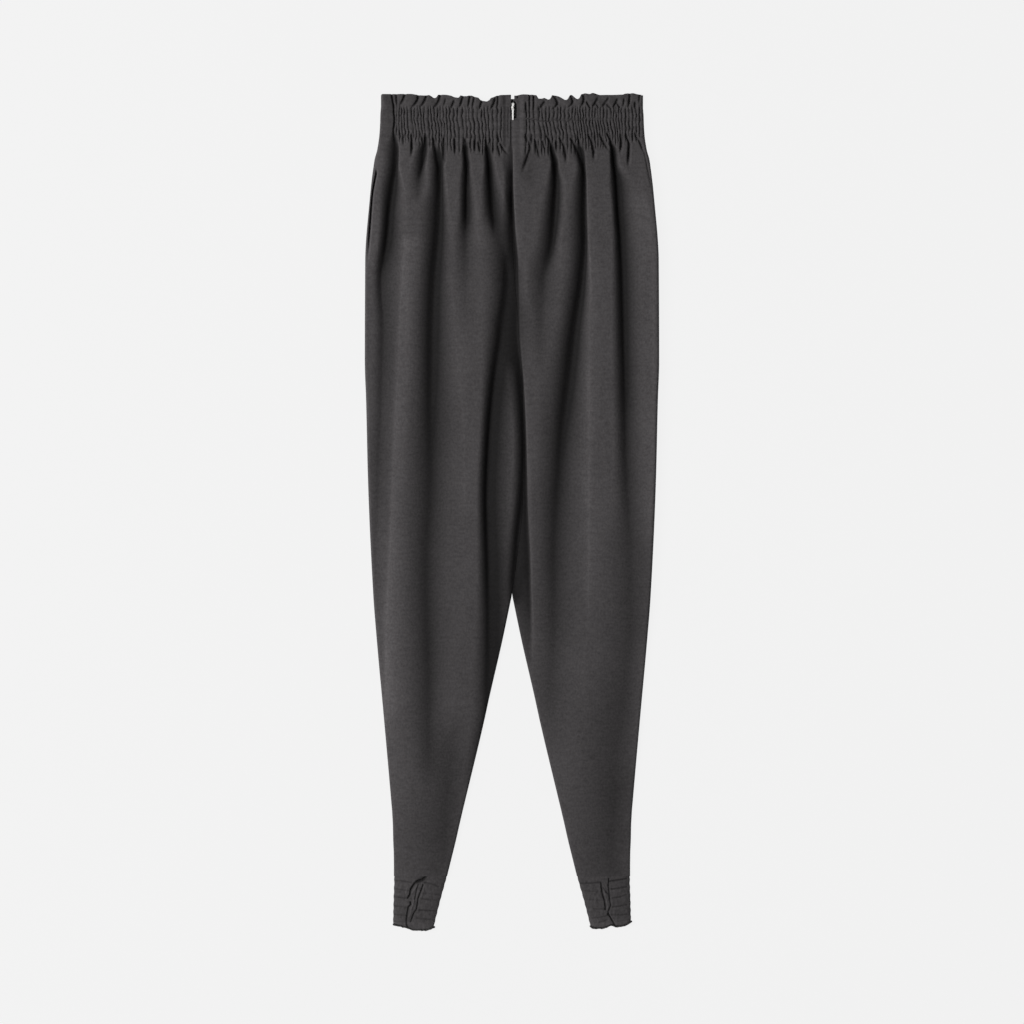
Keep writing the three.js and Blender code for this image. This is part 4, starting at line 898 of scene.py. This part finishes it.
def cuff(side):
    """A cuff: an open tube, shirred on the outside and plain on the inside."""
    top_count, under_count, levels, inside_count = 132, 20, 118, 20
    puffs = np.arange(len(CUFF_ROWS)) * 1.0

    def row(down, inset, share):
        middle_y = CUFF_TOP_Y - CUFF_LENGTH * down
        from_x = float(curve(INNER, middle_y)) + inset
        to_x = float(curve(OUTER, middle_y)) - inset
        x = side * (from_x + (to_x - from_x) * share)
        return x, CUFF_TOP_Y + (curve(HEM_LOW[side], x) + HEM_ROOM - CUFF_TOP_Y) * down

    def ring(lower, upper):
        return np.concatenate([lower, upper[::-1]] if side > 0 else [lower[::-1], upper])

    rings, painted_shadings = [], []
    for down in np.append(np.linspace(1, EDGE_LOOP / CUFF_LENGTH, levels - 1), 0):
        puff = 0.5 - 0.5 * math.cos(2 * math.pi * np.interp(down, CUFF_ROWS, puffs))
        inset = CUFF_INSET + CUFF_PULL * (1 - puff)
        share = np.linspace(0, 1, top_count)
        x, y = row(down, inset, share)
        factor = cuff_factor(x, y, side)
        crown = 1 - LEG_CROWN * (2 * share - 1) ** 2
        crinkle = CUFF_CRINKLE * noise_2d(61 + side, x, y, 2.6, 4) * soft(0, 0.1, down)
        height = REST_TOP + (CUFF_RISE - CUFF_FALL * down + crinkle) * crown
        bend = np.sqrt(np.clip(1 - np.abs(2 * share - 1) ** 7, 0, 1))
        upper = points_of(x, y, RIM_HEIGHT + (height - RIM_HEIGHT) * factor * bend)
        # painted shade in the creases and painted highlight on the ridges, then painted shade over the whole
        # cuff, lighter where the crinkle rises
        painted_shading = np.clip(CUFF_SHADE * (1 - factor), -0.3, CUFF_SHADE_MOST)
        painted_shading = painted_shading + 0.12 - 0.08 * crinkle / CUFF_CRINKLE
        # painted highlight: the cloth next to the hem is stretched smooth and painted a little lighter
        painted_shading -= 0.18 * soft(0.82, 0.95, down)
        share = np.linspace(0.015, 0.985, under_count)
        x, y = row(down, inset, share)
        low = 0.35 * (1 - puff) + rounded_rim(np.minimum(share, 1 - share) / 0.05, 1.2)
        rings.append(ring(points_of(x, y, low), upper))
        painted_shadings.append(ring(np.zeros(under_count), painted_shading))
    inner_rings = []
    for down in (1, 0.75, 0.5, 0.25, 0):
        x, y = row(down, CUFF_HOLE_INSET, np.linspace(0, 1, inside_count))
        inner_rings.append(ring(points_of(x, y, CUFF_HOLE_LOW), points_of(x, y, CUFF_HOLE_HIGH)))
    rings, inner_rings = np.array(rings), np.array(inner_rings)
    count, inner_count = rings.shape[1], inner_rings.shape[1]
    points = np.concatenate([rings.reshape(-1, 3), inner_rings.reshape(-1, 3)])
    base = len(rings) * count

    def closed(start, around):
        return np.append(np.arange(start, start + around), start)

    low = zip_lines(points, closed(0, count)[::-1], closed(base, inner_count)[::-1])
    high = zip_lines(points, closed((len(rings) - 1) * count, count),
                     closed(base + (len(inner_rings) - 1) * inner_count, inner_count))
    faces = [tube_faces(len(rings), count), tube_faces(len(inner_rings), inner_count, base)[:, ::-1]]
    piece = make_piece(f"cuff_shirred_{SIDE_WORD[side]}", points, faces + [low, high], CREPE)
    paint_shading(piece, np.array(painted_shadings))
    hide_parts(f"cuff_{SIDE_WORD[side]}")
    return piece


cuff_left, cuff_right = cuff(-1), cuff(1)


# ---------- Rolled hems ----------
HEM_RADIUS = 1.15
HEM_HIGH_Z = 4.4  # middle of the upper run of the roll


def hem(side):
    """A thin roll round the end of a cuff, which runs along the floor and back along the cuff's top."""
    table = HEM_LOW[side]
    from_x, to_x = table[0][0] + HEM_RADIUS, table[-1][0] - HEM_RADIUS
    around, sides = 300, 8
    bend = (HEM_HIGH_Z - HEM_RADIUS) / 2
    straight, turn_length = to_x - from_x - 2 * bend, math.pi * bend
    length = 2 * (straight + turn_length)
    out = 2 * math.pi * np.arange(sides) / sides
    rings = []
    for step in range(around):
        along = step / around * length
        ripple = 0.45 * float(noise_1d(71 + side, np.array(along), 2.2))
        # along the floor, round the outer bend, back over the cuff and round the inner bend
        turned = min(max(along - straight, 0), turn_length) + max(along - 2 * straight - turn_length, 0)
        turn = turned / bend - math.pi / 2
        moved = min(along, straight) - min(max(along - straight - turn_length, 0), straight)
        x = from_x + bend + moved + bend * math.cos(turn)
        z = HEM_RADIUS + bend + bend * math.sin(turn)
        if straight + turn_length < along <= 2 * straight + turn_length:
            z += 0.5 * ripple
        y = float(curve(table, np.array(x))) + HEM_RADIUS + ripple * (0.8 if z > 3 else 0.2)
        thick = HEM_RADIUS * (1 + 0.1 * math.sin(step * 1.7))
        across, up = thick * np.cos(out) * math.cos(turn), thick * np.cos(out) * math.sin(turn)
        rings.append(points_of(x + across, y + thick * np.sin(out), np.maximum(0, z + up)))
    faces = [tube_faces(around, sides, outward=False, closed=True)]
    points = np.array(rings).reshape(-1, 3)
    piece = make_piece(f"rolled_hem_{SIDE_WORD[side]}", points, faces, OVERLOCK)
    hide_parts(f"hem_{SIDE_WORD[side]}")


hem(-1)
hem(1)


# ---------- Zip: the part's own tape, slider and pull, with a better finish ----------
TOOTH_STEP = 1.05  # from one tooth of a row to the next
TOOTH_HALF, TOOTH_RISE, TOOTH_RADIUS = 0.62, 0.35, 0.24
TEETH_SHUT, TEETH_PARTED = (489, 500.2), (509.2, 513.2)  # where the rows show, under the pull and above it
TEETH_Z = 3.35
TEETH_STAGGER = 0.26
TAPE_END_HALF, TAPE_END_LOW, TAPE_END_HIGH = 3.4, 510.1, 513.6
TAPE_TOP_Z, TAPE_UNDER_Z = 2.9, 1.95

for node, finish in (("zip_slider", ZIP_METAL), ("zip_pull", ZIP_METAL), ("zip_tape", TAPE)):
    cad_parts[node].data.materials.clear()
    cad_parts[node].data.materials.append(finish)


def coil_teeth():
    """Two staggered rows of coil teeth on the tape: closed under the pull and open above the slider."""
    around, along = 8, 10
    shut = [(y, 0.5) for y in np.arange(*TEETH_SHUT, TOOTH_STEP)]
    parted = [(y, 1.0) for y in np.arange(*TEETH_PARTED, TOOTH_STEP)]
    turn = np.linspace(0, math.pi, along)[:, None]
    out = 2 * math.pi * np.arange(around) / around
    thick = TOOTH_RADIUS * (0.75 + 0.25 * np.sin(turn))
    rise = TOOTH_RISE * np.sin(turn) + thick * np.sin(out)
    tooth = points_of(TOOTH_HALF * np.cos(turn), thick * np.cos(out), rise).reshape(-1, 3)
    cap = np.array([(0, 1, 2, 3), (0, 3, 4, 7), (4, 5, 6, 7)])
    tooth_faces = np.concatenate([tube_faces(along, around, outward=False), around - 1 - cap,
                                  (along - 1) * around + cap])
    points, faces = [], []
    for y, spread in shut + parted:
        for side in (-1, 1):
            faces.append(tooth_faces + len(points) * len(tooth))
            points.append(tooth + (ZIP_X + side * spread, y + TEETH_STAGGER * side, TEETH_Z))
    make_piece("zip_coil", np.concatenate(points), faces, COIL)


def tape_end():
    """The upper end of the tape, which rises to the top of the notch."""
    x = np.linspace(ZIP_X - TAPE_END_HALF, ZIP_X + TAPE_END_HALF, 30)
    top, under = [], []
    for y in np.linspace(TAPE_END_LOW, TAPE_END_HIGH, 12):
        z = TAPE_TOP_Z + 0.12 * np.sin(x * 4) * np.cos(y * 5) - 0.5 * max(0, (y - 512.8) / 0.8) ** 2
        top.append(points_of(x, y, z))
        under.append(points_of(x, y, TAPE_UNDER_Z))
    shell("zip_tape_end", top, under, TAPE)


coil_teeth()
tape_end()


# ---------- Floor, light and camera, in metres ----------
FLOOR_WIDTH = 80
FLOOR_DROP = 0.0003  # keeps the floor's face off the cloth's underside
FLOOR_GLOW = 0.862
FLOOR_MATT = (0.03, 0.03, 0.03)
WORLD_GLOW = 0.08
CAMERA_HEIGHT = 3.54


def floor():
    """A pale floor just below the cloth, as wide as the horizon of a low view, with a low wall round it."""
    material, shader, add = tree_of("floor")
    glow = add("Emission", {"Color": (1, 1, 1, 1), "Strength": FLOOR_GLOW})
    matt = add("BsdfDiffuse", {"Color": (*FLOOR_MATT, 1)})
    both = add("AddShader", {0: glow, 1: matt})
    tree = material.node_tree
    tree.links.new(both, tree.nodes["Material Output"].inputs["Surface"])
    tree.nodes.remove(shader)
    bpy.ops.mesh.primitive_plane_add(size=FLOOR_WIDTH, location=(0, 0, -FLOOR_DROP))
    plane = bpy.context.object
    plane.name = "floor"
    bpy.ops.mesh.primitive_cylinder_add(vertices=48, radius=FLOOR_WIDTH / 2 - 1, depth=4,
                                        end_fill_type="NOTHING", location=(0, 0, 1))
    wall = bpy.context.object
    wall.name = "backdrop"
    for thing in (plane, wall):
        thing.data.materials.append(material)


def area_light(name, place, size, power):
    """A lamp of so many watts that shines on the middle of the joggers."""
    data = bpy.data.lights.new(name, "AREA")
    data.shape = "RECTANGLE"
    data.size, data.size_y = size
    data.energy = power
    lamp = bpy.data.objects.new(name, data)
    bpy.context.scene.collection.objects.link(lamp)
    lamp.location = place
    lamp.rotation_mode = "QUATERNION"
    lamp.rotation_quaternion = (-lamp.location).to_track_quat("-Z", "Y")


floor()
area_light("key", place=(-2.5, 0.3, 2.6), size=(2.2, 2.2), power=150)
area_light("side", place=(3.2, 0.2, 1.7), size=(1.6, 2.2), power=3)
world = bpy.data.worlds.new("studio")
bpy.context.scene.world = world
world.use_nodes = True
set_inputs(world.node_tree.nodes["Background"], {"Color": (1, 1, 1, 1), "Strength": WORLD_GLOW})

camera_data = bpy.data.cameras.new("camera")
camera_data.lens, camera_data.sensor_width = 100, 36
camera = bpy.data.objects.new("camera", camera_data)
bpy.context.scene.collection.objects.link(camera)
camera.location = (0, 0, CAMERA_HEIGHT)
camera_data.clip_start, camera_data.clip_end = 0.1, 20
bpy.context.scene.camera = camera
bpy.context.scene.view_settings.view_transform = "Standard"
